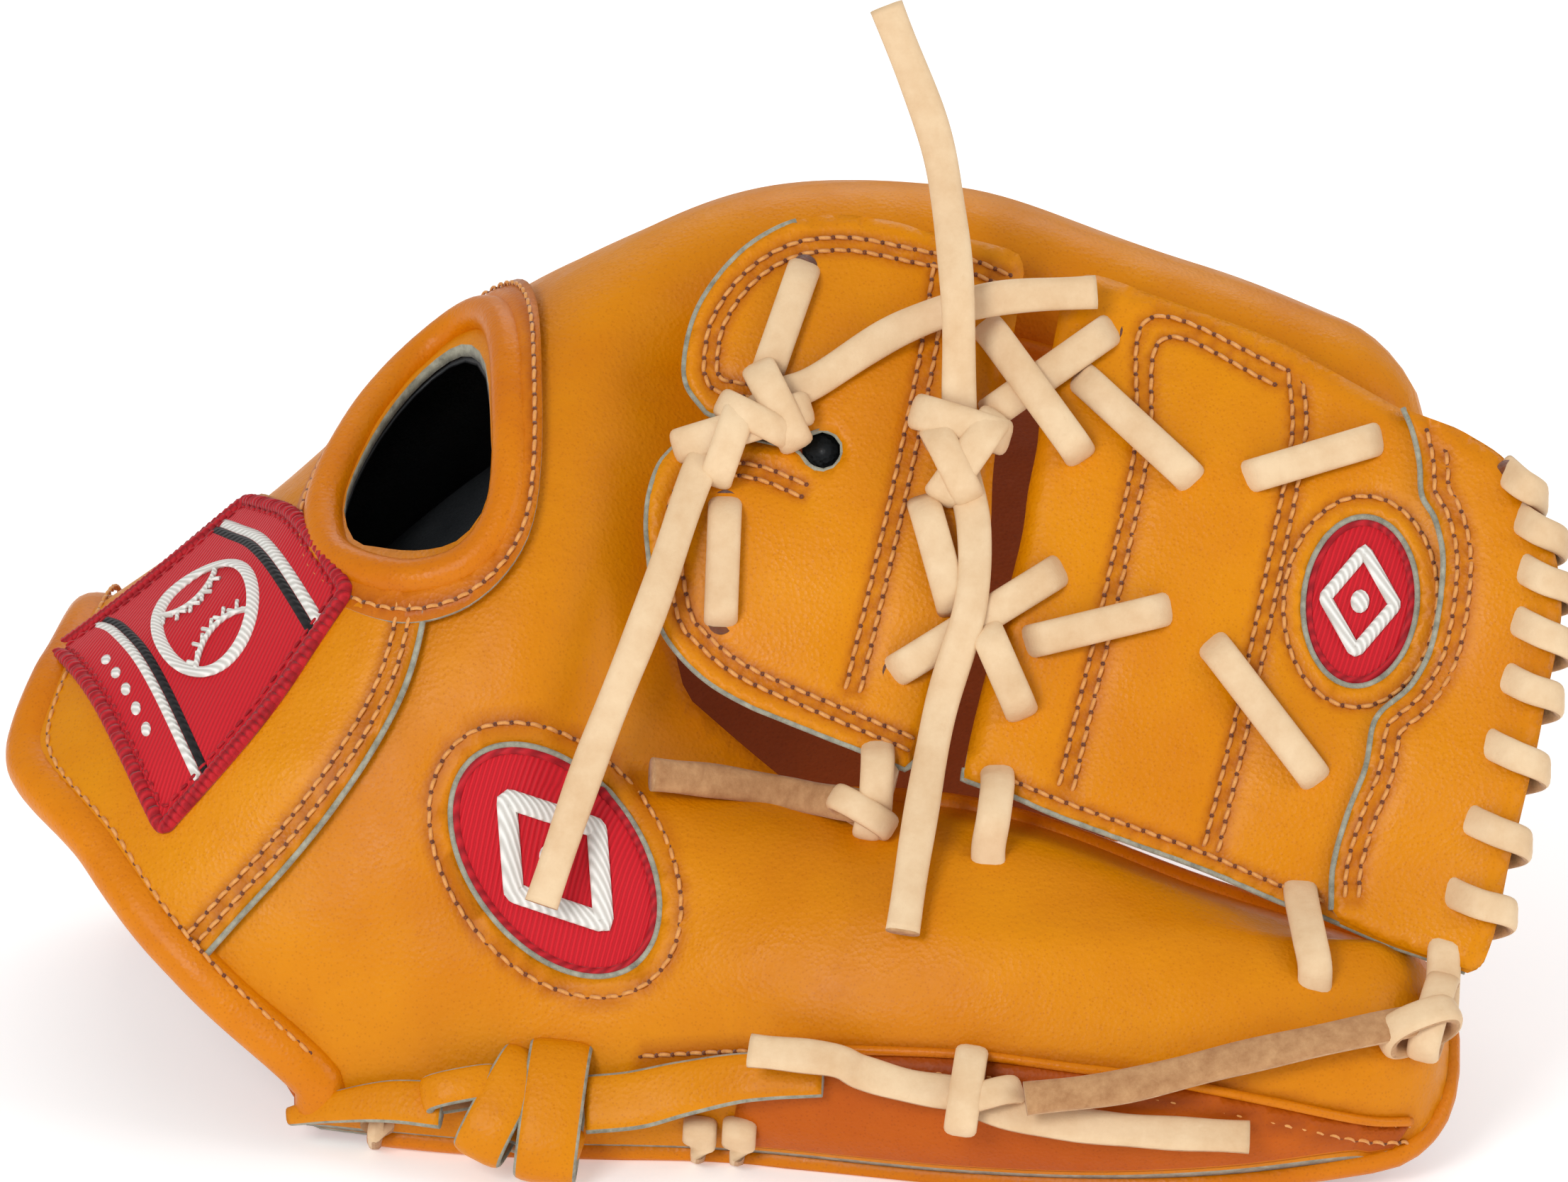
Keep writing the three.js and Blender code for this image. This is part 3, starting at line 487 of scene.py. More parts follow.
# ---------- materials ----------
def rgb(r, g, b):
    def lin(c):
        c /= 255
        return c / 12.92 if c <= 0.04045 else ((c + 0.055) / 1.055) ** 2.4
    return (lin(r), lin(g), lin(b), 1)


class Shader:
    """A principled material with helpers for the nodes that feed its colour, roughness and bump."""

    def __init__(self, name, base, rough, **sockets):
        self.mat = bpy.data.materials.new(name)
        self.mat.use_nodes = True
        self.nodes = self.mat.node_tree.nodes
        self.links = self.mat.node_tree.links
        self.bsdf = self.fill(self.nodes["Principled BSDF"], Base_Color=base, Roughness=rough, **sockets)
        self.mat.diffuse_color = base
        self.where = self.nodes.new("ShaderNodeTexCoord").outputs["Object"]
        self.height = None

    def fill(self, node, **values):
        """Sets the node's sockets by name, and as its own settings whatever is not a socket."""
        for key, value in values.items():
            socket = key.replace("_", " ")
            if socket in node.inputs:
                node.inputs[socket].default_value = value
            else:
                setattr(node, key, value)
        return node

    def add(self, kind, socket=None, source=None, **values):
        node = self.fill(self.nodes.new("ShaderNode" + kind), **values)
        if socket:
            self.links.new(source, node.inputs[socket])
        return node

    def coords(self, stretch):
        if stretch is None:
            return self.where
        turn, scale = stretch
        return self.add("Mapping", "Vector", self.where, Rotation=turn, Scale=scale).outputs["Vector"]

    def noise(self, scale, detail=4.0, rough=0.55, stretch=None):
        node = self.add("TexNoise", "Vector", self.coords(stretch), Scale=scale, Detail=detail,
                        Roughness=rough)
        return node.outputs["Fac"]

    def cells(self, scale):
        return self.add("TexVoronoi", "Vector", self.where, Scale=scale).outputs["Distance"]

    def ramp(self, factor, low, high, a=0.0, b=1.0):
        node = self.add("MapRange", "Value", factor, From_Min=low, From_Max=high, To_Min=a, To_Max=b)
        return node.outputs["Result"]

    def mix(self, factor, a, b):
        node = self.add("Mix", data_type="RGBA")
        for n, v in ((6, a), (7, b)):
            if isinstance(v, tuple):
                node.inputs[n].default_value = v
            else:
                self.links.new(v, node.inputs[n])
        self.links.new(factor, node.inputs[0])
        return node.outputs[2]

    def colour(self, out):
        self.links.new(out, self.bsdf.inputs["Base Color"])

    def rough(self, out):
        self.links.new(out, self.bsdf.inputs["Roughness"])

    def bump(self, height, distance_mm, strength=1.0):
        node = self.add("Bump", "Height", height, Distance=distance_mm / 1000, Strength=strength)
        if self.height is not None:
            self.links.new(self.height, node.inputs["Normal"])
        self.height = node.outputs["Normal"]
        self.links.new(self.height, self.bsdf.inputs["Normal"])

    def attribute(self, name):
        return self.add("Attribute", attribute_name=name).outputs["Fac"]


def leather(name, light, dark, deep, rough=0.4, coat=0.04, grain=1.0):
    """Pebbled, lightly waxed leather: patchy colour, darker crease streaks, fine cell grain, and painted shade
    along the stitch lines.
    """
    m = Shader(name, light, rough, Coat_Weight=coat, Coat_Roughness=0.3, Specular_IOR_Level=0.16)
    tone = m.mix(m.ramp(m.noise(26, 5, 0.6), 0.36, 0.68), light, dark)
    streak = m.ramp(m.noise(70, 6, 0.7, ((0.5, 0.2, 0.6), (1, 2.6, 1))), 0.6, 0.8, 0, 0.22)
    tone = m.mix(streak, tone, deep)
    pore = m.ramp(m.cells(1250), 0.02, 0.34, 0.32, 0)
    tone = m.mix(pore, tone, deep)
    # painted shade: darker along the sewn grooves, read from the seam attribute
    tone = m.mix(m.ramp(m.attribute("seam"), 0.1, 1, 0, 0.62), tone, deep)
    m.colour(tone)
    m.rough(m.ramp(m.noise(140, 4), 0.3, 0.7, rough - 0.07, rough + 0.12))
    m.bump(m.noise(38, 5, 0.62), 0.9 * grain, 0.35)
    m.bump(m.noise(210, 6, 0.7, ((0.3, 0.5, 0.9), (1, 1.9, 1))), 0.35 * grain, 0.4)
    m.bump(m.cells(1150), 0.16 * grain, 0.55)
    return m.mat


def hide_edge(name, light, dark, scale=420, rough=0.8):
    """The fibrous side or cut edge of leather."""
    m = Shader(name, light, rough, Specular_IOR_Level=0.25, Sheen_Weight=0.15)
    m.colour(m.mix(m.ramp(m.noise(scale, 6, 0.7), 0.35, 0.68), light, dark))
    m.bump(m.noise(scale * 2, 5, 0.75), 0.3, 0.6)
    m.bump(m.noise(scale * 0.3, 3), 0.4, 0.3)
    return m.mat


def lace_leather(name, light, dark):
    m = Shader(name, light, 0.5, Specular_IOR_Level=0.2)
    tone = m.mix(m.ramp(m.noise(90, 5, 0.65), 0.35, 0.7), light, dark)
    tone = m.mix(m.ramp(m.noise(520, 5, 0.7), 0.6, 0.78, 0, 0.5), tone, dark)
    m.colour(tone)
    m.bump(m.noise(240, 5, 0.7), 0.32, 0.5)
    m.bump(m.noise(900, 3, 0.7), 0.12, 0.5)
    return m.mat


def twill(name, light, dark, angle, per_mm=2.4):
    """Machine embroidery: fine parallel raised threads, darker in the valleys between them as painted shade."""
    m = Shader(name, light, 0.55, Sheen_Weight=0.1, Specular_IOR_Level=0.2)
    wave = m.add("TexWave", "Vector", m.coords(((0, 0, angle), (1, 1, 1))), Distortion=0.6, Detail=2.0,
                 Scale=1000 * per_mm / 20 * 3.14159)
    # colour follows the thread height: painted shade in the valleys between threads
    m.colour(m.mix(m.ramp(wave.outputs["Fac"], 0, 1, 1, 0), light, dark))
    m.bump(wave.outputs["Fac"], 0.22, 0.7)
    m.bump(m.noise(800, 3), 0.1, 0.4)
    return m.mat


def thread(name, light, dark):
    m = Shader(name, light, 0.5, Sheen_Weight=0.2, Specular_IOR_Level=0.4)
    m.colour(m.mix(m.ramp(m.noise(900, 3), 0.35, 0.7), light, dark))
    m.bump(m.noise(2400, 2), 0.08, 0.6)
    return m.mat


HIDE = leather("glove leather", rgb(216, 134, 0), rgb(205, 120, 0), rgb(158, 72, 2))
WEB_HIDE = leather("web leather", rgb(219, 137, 0), rgb(209, 123, 0), rgb(162, 75, 2), 0.36, 0.06)
STRAP_HIDE = leather("wrist strap leather", rgb(218, 138, 0), rgb(207, 123, 0), rgb(156, 72, 2), 0.36, 0.06)
ROLL_HIDE = leather("rolled binding leather", rgb(216, 127, 0), rgb(200, 108, 0), rgb(146, 62, 2), 0.34, 0.08)
# the palm side is the glove leather painted darker: painted shade, as it faces down, away from the light
PALM_SHADE_HIDE = leather("palm leather in painted shade", rgb(194, 96, 10), rgb(180, 82, 8), rgb(130, 50, 6), 0.45, 0.03)
RAW = hide_edge("cut leather edge", rgb(172, 170, 152), rgb(120, 118, 104))
SUEDE = hide_edge("suede back of the leather", rgb(196, 150, 104), rgb(166, 118, 76), 300)
BLACK = leather("black lining leather", rgb(46, 48, 50), rgb(34, 36, 38), rgb(18, 18, 20), 0.4, 0.2)
LACE = lace_leather("rawhide lace", rgb(232, 203, 164), rgb(216, 180, 138))
LACE_EDGE = hide_edge("lace edge", rgb(208, 166, 122), rgb(172, 128, 86), 500)
THREAD = thread("leather thread", rgb(226, 160, 86), rgb(206, 134, 58))
# dark colour of the needle and lace holes: painted shade inside the holes
NEEDLE_HOLE_SHADE = thread("needle hole", rgb(138, 70, 20), rgb(104, 48, 14))
RED = twill("red embroidery", rgb(212, 22, 38), rgb(184, 16, 30), 0.6)
RED_EDGE = twill("red border thread", rgb(190, 26, 38), rgb(148, 14, 26), 1.2, 1.6)
WHITE = twill("white embroidery", rgb(244, 242, 236), rgb(204, 200, 192), 2.2)
BLACK_THREAD = twill("black embroidery", rgb(30, 28, 30), rgb(12, 12, 13), 2.2)
SHELL_SET = [HIDE, RAW, SUEDE]
WEB_SET = [WEB_HIDE, RAW, WEB_HIDE]
LACE_SET = [LACE, LACE_EDGE, SUEDE]
# the pocket face of the palm pieces is the leather painted much darker: painted shade of the glove's hollow
POCKET_SHADE_HIDE = leather("pocket leather in painted shade", rgb(146, 64, 10), rgb(130, 54, 8), rgb(86, 34, 6), 0.5, 0.02)
PALM_SET = [SUEDE, RAW, POCKET_SHADE_HIDE]

# ---------- camera and light ----------
TARGET = face_on(np.array(146.2), np.array(110.9), np.array(30.0))
TOWARD = np.array([0, COS, -SIN])


def set_camera():
    camera = bpy.data.cameras.new("camera")
    camera.lens = 200
    camera.sensor_width = 36
    camera.clip_start = 0.05
    ob = bpy.data.objects.new("camera", camera)
    bpy.context.scene.collection.objects.link(ob)
    ob.location = (TARGET - TOWARD * CAMERA_AWAY - MID) / 1000
    ob.rotation_euler = Vector(TOWARD).to_track_quat("-Z", "Y").to_euler()
    bpy.context.scene.camera = ob


def lamp(name, place, size, power, colour=(1, 1, 1)):
    data = bpy.data.lights.new(name, "AREA")
    data.shape = "RECTANGLE"
    data.size, data.size_y = size
    data.energy = power
    data.color = colour
    ob = bpy.data.objects.new(name, data)
    ob.location = place
    aim = Vector((0, 0, 0.08)) - Vector(place)
    ob.rotation_euler = aim.to_track_quat("-Z", "Y").to_euler()
    bpy.context.scene.collection.objects.link(ob)


def set_stage():
    scene = bpy.context.scene
    world = bpy.data.worlds.new("studio")
    world.use_nodes = True
    world.node_tree.nodes["Background"].inputs["Color"].default_value = (1, 1, 1, 1)
    world.node_tree.nodes["Background"].inputs["Strength"].default_value = 0.56
    scene.world = world
    lamp("key", (-0.55, -1.25, 0.85), (0.5, 0.5), 9.5)
    lamp("right", (1.0, -0.5, 0.6), (0.5, 0.6), 2.5)
    lamp("back", (0.1, 1.0, 1.0), (1.0, 0.5), 4.0)
    floor = bpy.data.meshes.new("floor")
    floor.from_pydata([(-6, -6, 0), (6, -6, 0), (6, 6, 0), (-6, 6, 0)], [], [(0, 1, 2, 3)])
    ob = bpy.data.objects.new("floor", floor)
    pale = Shader("floor", (0.93, 0.93, 0.93, 1), 0.9, Specular_IOR_Level=0.1, Emission_Color=(1, 1, 1, 1),
                  Emission_Strength=0.34)
    tint = pale.ramp(pale.noise(2), 0.3, 0.7)
    pale.colour(pale.mix(tint, (0.92, 0.92, 0.92, 1), (0.94, 0.94, 0.94, 1)))
    floor.materials.append(pale.mat)
    scene.collection.objects.link(ob)
    scene.view_settings.view_transform = "Standard"


set_camera()
set_stage()
NEAR = {"a": "palm", "b": "thumb_side", "start": (57.5, 98.9), "end": (37.0, 63.6)}
FAR = {"a": "palm", "b": "pinky_side", "start": (1.13, -1.65), "end": (16.95, -24.75)}


def bend(ob):
    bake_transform(ob)


def finish_piece(ob, body, slot="shell_leather", *nodes):
    if isinstance(body, dict):
        bend(ob)
    else:
        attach(ob, body)
    if nodes:
        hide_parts(*nodes)
    return ob


def offset(line, by):
    """The line moved sideways, positive to its left."""
    t = np.gradient(line, axis=0)
    t /= np.linalg.norm(t, axis=1, keepdims=True) + 1e-9
    return line + by * np.stack([-t[:, 1], t[:, 0]], -1)


def turned(centre, x, y, tilt):
    c, s = math.cos(math.radians(tilt)), math.sin(math.radians(tilt))
    return np.stack([centre[0] + x * c - y * s, centre[1] + x * s + y * c], -1)


def ellipse(centre, long, short, tilt, count=72):
    a = np.arange(count) * 2 * np.pi / count
    return turned(centre, long * np.cos(a), short * np.sin(a), tilt)


def on_back_at(lift):
    return lambda p, extra: on_back(p, lift + extra)


def on_web_at(lift):
    return lambda p, extra: on_web(p, extra + lift)


# ---------- the tails: free leather cords ----------
def spaced(values, k):
    """Vectors read off at the fractions k of the way along a list of them."""
    at = np.linspace(0, 1, len(values))
    return np.stack([np.interp(k, at, column) for column in np.array(values, float).T], -1)


def tail(name, node, points, body, edge=LACE_SET):
    """A flat lace that lies or stands free. Each point has a place and the way its face looks."""
    xyz = np.array([p[0] for p in points], float)
    line = spline(xyz, 1.2)
    k = np.linspace(0, 1, len(line))
    ups = spaced([p[1] for p in points], k)
    wide = LACE_W * (1 + 0.03 * np.sin(k * 19))
    ob = sweep(name, line, ups, wide, LACE_T, edge)
    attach(ob, body)
    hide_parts(node)
    return ob


def web_point(u, w, lift, face=None):
    p = np.array([float(u), float(w)])
    return on_web(p, lift), (up_of(on_web, p) if face is None else face)


def back_point(u, w, lift, face=None):
    p = arch_at(u, w)[0]
    return on_back(p, lift), (up_of(on_back, p) if face is None else face)


FACING = np.array([0.0, -COS, SIN])
TAILS = [
    ("tail A upper", "tail_a_up", "palm", "stiff", [
        web_point(140, 143, 5.5), web_point(146, 147, 7), web_point(152, 149.5, 7),
        web_point(167.6, 159.2, 9), web_point(184, 164.5, 13), web_point(203.7, 166, 11)]),
    ("tail A lower", "tail_a_down", "palm", "medium", [
        web_point(136.5, 139, 5), web_point(131, 134, 8), web_point(122, 108, 11.5),
        back_point(111, 78, 9.5, FACING), back_point(102.1, 52.1, 8, FACING)]),
    ("tail B upper", "tail_b_up", "palm", "stiff", [
        web_point(178.6, 138, 6.5), web_point(178.3, 147, 12), web_point(178, 164.6, 21),
        web_point(176.4, 181, 22), web_point(173.4, 196.2, 23), web_point(165, 218.4, 25)]),
    ("tail B lower", "tail_b_down", "palm", "medium", [
        web_point(179, 133, 6), web_point(181, 122, 8.5), web_point(180.2, 108, 9.5),
        web_point(174.7, 89.1, 8.5), back_point(170.5, 66, 9.5, FACING), back_point(167.6, 48.2, 5, FACING)]),
    ("tail C", "tail_c", "thumb_side", "medium", [
        back_point(160, 70.4, 7.4), back_point(146, 72.5, 6.4), back_point(136, 74.5, 6),
        back_point(122, 76.2, 6)]),
    ("tail D", "tail_d", "thumb_side", "medium", [
        back_point(260, 29.5, 7), back_point(246, 28, 5.5), back_point(227.2, 24.5, 5),
        back_point(207, 19, 8), back_point(189.5, 16, 12)]),
    ("tail E left", "tail_e_left", "thumb_side", "medium", [
        back_point(178, 18.5, 5.8), back_point(169, 20, 5.2), back_point(160, 22, 7.5),
        back_point(154.8, 23.5, 10.5), back_point(140, 24.8, 11.5)]),
    ("tail E right", "tail_e_right", "thumb_side", "medium", [
        back_point(180, 17.5, 5.8), back_point(190, 14, 6.5), back_point(208, 11.5, 6.5),
        back_point(230, 9.6, 7)]),
]
for label, node, body, stiff, points in TAILS:
    suede = [SUEDE, LACE_EDGE, SUEDE] if node in ("tail_c", "tail_d") else LACE_SET
    tail(label, node, points, body, suede)

# ---------- the shell ----------
S = SPREAD


def bead(name, line, place, lift, wide, tall, mat, body, slot="shell_leather", *nodes, **shape):
    """A rounded run of one material along a line on a surface."""
    run = sweep(name, place(line, lift + 0 * line[:, 0]), up_of(place, line), wide, tall, [mat], **shape)
    return finish_piece(run, body, slot, *nodes)


def sew(name, rows, place, body, slot="shell_leather"):
    finish_piece(stitches(name, rows, place, [THREAD, NEEDLE_HOLE_SHADE]), body, slot)


def tip_round(tip, low, high, r=TIP_R, count=15):
    """The rounded end of a stall, from its low side to its high side, in surface coordinates."""
    a = np.linspace(-np.pi / 2, np.pi / 2, count)
    mid, half = (low + high) / 2, (high - low) / 2
    return [(tip - r + r * math.cos(x) ** 0.8,
             (mid + half * np.sign(math.sin(x)) * abs(math.sin(x)) ** 0.8) * S)
            for x in a]


def side_line(table, s0, s1, count=26, shift=0.0):
    s = np.linspace(s0, s1, count)
    return [(float(u) + shift, v * S) for u, v in zip(curve(table, np.clip(s, 0, 8)), s)]


def near_outline(edge_table):
    """Thumb, crotch and index finger in one outline, from the wrist or heel line."""
    crotch = [(168, THUMB_END * S), (146, 2.12 * S), (128, 2.5 * S), (123, 3.0 * S), (128, 3.5 * S),
              (146, 3.9 * S), (168, INDEX_LOW * S)]
    return np.array(side_line(edge_table, INDEX_HIGH, ARCH_LOW) + tip_round(THUMB_TIP, ARCH_LOW, THUMB_END)
                    + crotch + tip_round(INDEX_TIP, INDEX_LOW, INDEX_HIGH))


OPENING = back_line([(64, 122.6), (66.5, 120.6), (70.5, 119.2), (76.8, 118.4), (82.6, 118.9), (86.8, 120.7),
                     (90.4, 125), (92.4, 131.4), (92.2, 137)])
FAR_RIM = np.array([(90.5, OPENING[-1][1] + 9), (85, OPENING[-1][1] + 15), (77.5, OPENING[-1][1] + 16),
                    (70, OPENING[-1][1] + 12), (64.5, OPENING[-1][1] + 4)])
OPENING = spline(np.vstack([OPENING[1:], FAR_RIM]), 1.0, True)

THUMB_OVAL_AT, THUMB_TILT = (104.4, 61.8), -52
WEB_OVAL_AT, WEB_TILT = (251.8, 109), 84
THUMB_OVAL = ellipse(THUMB_OVAL_AT, 24, 15.5, THUMB_TILT)
WEB_OVAL = ellipse(WEB_OVAL_AT, 15.6, 10.4, WEB_TILT)
WELT = spline([(120, 26), (142.3, 27.4), (166.3, 27.4), (182.2, 26.6), (198.1, 24.6), (211.1, 22.9),
               (233.2, 18.5), (251.1, 14.6), (260, 14)])
STRAP_SEAM = spline([(81.5, 119), (80.4, 112.4), (80, 104.1), (77, 92.9), (71.4, 81.8), (64, 70.7),
                     (55.7, 60.4), (46.4, 50.3), (37.6, 40.5)])
welt, low_welt = back_line(WELT), back_line(WELT - np.array([0, 3.4]))
oval_d = back_line(THUMB_OVAL)
oval_ring = looped(back_line(ellipse(THUMB_OVAL_AT, 28, 19.4, THUMB_TILT)))

near = sheet("hand and thumb back", near_outline(WRIST_U), on_back, 2.6, BACK_T, SHELL_SET,
             holes=[OPENING, oval_d], grooves=[welt, low_welt, oval_ring], puff=0.5)
finish_piece(near, NEAR, "shell_leather", "hand_back", "thumb_hand_back", "thumb_back", "index_back")
far_hand = sheet("far hand back",
                 np.array(side_line(WRIST_U, ARCH_HIGH, 5.005) + [(112, 5.005 * S), (112, ARCH_HIGH * S)]),
                 on_back, 3.4, BACK_T, SHELL_SET)
finish_piece(far_hand, FAR, "shell_leather", "pinky_hand_back")
FINGERS = [("middle", 5, 6, MIDDLE_TIP), ("ring", 6, 7, RING_TIP), ("pinky", 7, ARCH_HIGH, PINKY_TIP)]
for label, low, high, tip in FINGERS:
    low, high = low + 0.01, high - 0.01
    outline = [(112.2, high * S), (112.2, low * S)] + tip_round(tip, low, high)
    ob = sheet(label + " finger back", np.array(outline), on_back, 3.0, BACK_T, SHELL_SET)
    finish_piece(ob, FAR, "shell_leather", label + "_back")
# the palm pieces' pocket face takes the darker pocket leather: painted shade
near_palm = sheet("thumb and index palm", near_outline(HEEL_U), on_palm, 3.4, PALM_T, PALM_SET,
                  top_lift=PALM_T)
finish_piece(near_palm, NEAR, "palm_leather", "palm_thumb_side", "thumb_palm", "thumb_heel_pad",
             "thumb_edge_roll", "palm_centre", "index_palm")
far_outline = np.array(side_line(HEEL_U, ARCH_HIGH, 5.005) + tip_round(MIDDLE_TIP, 5.005, 5.99)
                       + [(250, 5.99 * S)] + tip_round(RING_TIP, 6.0, 6.99)
                       + tip_round(PINKY_TIP, 7.0, ARCH_HIGH))
far_palm = sheet("far palm", far_outline, on_palm, 3.6, PALM_T, PALM_SET, top_lift=PALM_T)
finish_piece(far_palm, FAR, "palm_leather", "palm_pinky_side", "ring_palm", "pinky_palm", "pinky_heel_pad",
             "pinky_edge_roll", "middle_palm")
for label, low, high, side in (("near", 0.1, 4.97, NEAR), ("far", 5.03, 7.95, FAR)):
    near_side = side is NEAR
    lining = sheet(label + " hand lining", np.array(side_line(WRIST_U, high, low, shift=3)
                                                    + [(108, low * S), (108, high * S)]),
                   on_back, 3.4, 1.1, [BLACK], holes=[OPENING] if near_side else [], top_lift=-2.8)
    finish_piece(lining, side, "back_lining", *(["hand_back_lining"] if near_side else []))
    liner = sheet(label + " palm liner", np.array(side_line(HEEL_U, high, low, shift=2)
                                                  + [(125, low * S), (125, high * S)]),
                  on_palm, 4.0, 1.0, [BLACK], top_lift=3.4)
    finish_piece(liner, side, "liner_leather", *(["palm_liner", "felt_palm_pad"] if near_side else []))

# ---------- web ----------
TIP_OUTLINE = np.vstack([
    spline([(197.5, 164), (193.8, 145.5), (192.8, 137.4), (191.1, 129.2), (189.5, 119.1), (182.9, 94.5),
            (180.2, 83.6), (178.8, 76.5)]),
    spline([(182.9, 75.0), (188.4, 73.2), (196, 69.9), (210.2, 64.7), (223, 60), (236.8, 54.1), (245.1, 51.2),
            (255.9, 46.6), (263.1, 44.1), (271, 41.2)]),
    spline([(273.3, 43), (275.7, 49.6), (278.3, 61.4), (280.9, 72), (283.6, 82.5), (285.5, 91.7),
            (287.5, 100.9), (288.2, 108.8), (286.8, 119.3), (282.9, 128.6), (278.3, 135.1), (270.5, 140)]),
    spline([(259.9, 144.5), (247.4, 151.6), (236.8, 157.5), (215.8, 165.4), (204, 169.5), (199.5, 168.5)])])
TIP_ROWS = [
    spline([(239.2, 151.6), (213.8, 161.4), (210.8, 137.4), (204.7, 109.2), (199.8, 89.1), (196.3, 75)]),
    spline([(236.7, 149), (216.3, 157.6), (213.3, 137), (207.2, 108.6), (202.3, 88.6), (198.8, 74)]),
    spline([(239.2, 151.6), (239.7, 139.5), (235.7, 119.3), (229.2, 89.6), (222.8, 64)]),
    spline([(241.9, 149.5), (242.2, 139.5), (238.2, 119), (231.7, 89), (225.3, 63)]),
    spline([(184, 78), (196, 72.9), (210.2, 67.7), (223, 63), (236.8, 57.1), (245.1, 54.2)])]
WEB_RING = looped(ellipse(WEB_OVAL_AT, 19.4, 14, WEB_TILT))
tip_panel = sheet("tip web panel", TIP_OUTLINE, on_web, 2.0, WEB_T, WEB_SET,
                  holes=[WEB_OVAL], roll=[TIP_OUTLINE[:85], TIP_OUTLINE[-70:]], roll_r=3.4,
                  grooves=TIP_ROWS + [WEB_RING], puff=0.9, top_lift=WEB_TOP)
finish_piece(tip_panel, "palm", "shell_leather", "tip_web_panel")

NOTCH = (153.3, 136.8)
CROTCH_RIGHT = spline([(170.5, 80), (176.3, 97), (183.5, 118.3), (185.1, 136.3), (190.8, 170.7)])
CROTCH = np.vstack([
    spline([(151.3, 180.4), (145.4, 178.4), (139.6, 174.9), (134.6, 169.9), (130.4, 163.5), (128.2, 156.3),
            (128.1, 149.2), (132.1, 143.5)]),
    spline([(136, 142.6), (143, 141.6), (149, 140.2)]),
    ellipse(NOTCH, 3.9, 3.9, 0, 20)[[7, 5, 3, 1, 19, 17, 15, 13]],
    spline([(148.5, 136.6), (142, 138.2), (135, 139.2), (129.5, 139)]),
    spline([(126.4, 137.8), (123.3, 134.2), (121.4, 128.6), (120.9, 122.8), (121.4, 117.1), (122.2, 110),
            (123.9, 103.6), (128.2, 97.9), (133.2, 93.6), (139.6, 90), (144.6, 87.9), (154.6, 83.9),
            (159.5, 82), (168.4, 78.2)]),
    CROTCH_RIGHT,
    spline([(189.5, 173.9), (181.3, 176.1), (173.2, 177.5), (167.6, 179.3), (160, 180.6), (154, 180.8)])])
CROTCH_ROWS = []
for by in (2.3, 4.7):
    CROTCH_ROWS += [
        offset(spline([(189, 171.5), (181.3, 174.6), (173.2, 176), (160, 178.6), (151.3, 178.4),
                       (145.4, 176.8), (139.6, 173.4), (134.6, 168.4), (130.8, 162), (129.4, 156.3),
                       (129.4, 150), (133, 145.6), (143, 143.9), (150.5, 142.6)]), by),
        offset(spline([(151.2, 132.6), (143, 135.9), (135, 137), (128.4, 136), (124.3, 131), (122.2, 124),
                       (122.4, 117.1), (124.9, 104.6), (129.2, 99.2), (134.2, 94.9), (140.6, 91.3),
                       (154.6, 85.3), (168.4, 79.6)]), by)]
CROTCH_ROWS += [offset(spline([(174, 171.5), (171, 153), (165.5, 127), (157.4, 92.6)]), by)
                for by in (0, 2.7)]
crotch = sheet("crotch web panel", CROTCH, on_web, 1.8, WEB_T, WEB_SET,
               roll=[CROTCH_RIGHT,
                     spline([(189.5, 173.9), (173.2, 177.5), (160, 180.6), (151.3, 180.4)])],
               grooves=CROTCH_ROWS, puff=0.9, top_lift=WEB_TOP)
finish_piece(crotch, "palm", "shell_leather", "crotch_web_panel")

RIGHT_EDGE = spline([(273.3, 43), (275.7, 49.6), (278.3, 61.4), (280.9, 72), (283.6, 82.5), (285.5, 91.7),
                     (287.5, 100.9), (288.4, 108.8), (287, 119.3), (283, 128.6), (278.3, 135.4),
                     (270.5, 140.6)])
STRAP_LEFT = spline([(260.1, 144.5), (261.7, 140.5), (262.9, 134.5), (263.2, 128.4), (265.4, 124.3),
                     (266.7, 118.8), (266.7, 113.3), (265.7, 105.7), (264, 99.2), (260.4, 93.2),
                     (254.3, 87.6), (252.3, 78.8), (248.8, 69.9), (246.3, 60.9), (245.8, 52.8)])
BOTTOM = spline([(247, 51.4), (255.9, 47.2), (263.1, 44.6), (271.5, 41.8)])
STRAP_ROWS = [offset(STRAP_LEFT, 2.5)[5:-2], offset(STRAP_LEFT, 5.0)[9:-2]]
binding = sheet("web tip binding", np.vstack([STRAP_LEFT, BOTTOM, RIGHT_EDGE]), on_web, 2.0, 3.0,
                WEB_SET, roll=[RIGHT_EDGE], roll_r=3.0, grooves=STRAP_ROWS, puff=0.6, top_lift=6.6)
finish_piece(binding, "palm", "shell_leather", "web_tip_binding")
sew("web stitching", TIP_ROWS + CROTCH_ROWS + [WEB_RING], on_web_at(4.1), "palm")
sew("binding stitching", STRAP_ROWS, on_web_at(6.3), "palm")


# ---------- wrist strap, binding, patch and the rolled opening ----------
strap_edge = back_line(STRAP_SEAM)
under_roll = back_line([(80.4, 113.5), (74, 113.8), (66.8, 115.4), (61.2, 117.6), (56.2, 121.5), (52.6, 125)])
strap_outline = np.vstack([
    side_line(WRIST_U, 4.7, 1.02, shift=1.2), strap_edge[::-1][:-8], under_roll,
    [(47, 4.62 * S), (40, 4.7 * S)]])
strap_rows_d = [back_line(offset(STRAP_SEAM, -2.6)[8:-2]), back_line(offset(STRAP_SEAM, -5.0)[8:-4])]
strap = sheet("wrist strap", strap_outline, on_back, 2.0, 2.6, [STRAP_HIDE, RAW, SUEDE], grooves=strap_rows_d,
              puff=0.5, top_lift=3.0)
finish_piece(strap, NEAR, "strap_leather", "wrist_strap")

bead("wrist binding", resample(side_line(WRIST_U, -0.2, 8.2, 90, shift=3.2), 1.6), on_back, 0.6, 9.5, 8.0,
     ROLL_HIDE, "palm", "strap_leather", "wrist_binding", square=0.8, around=22)

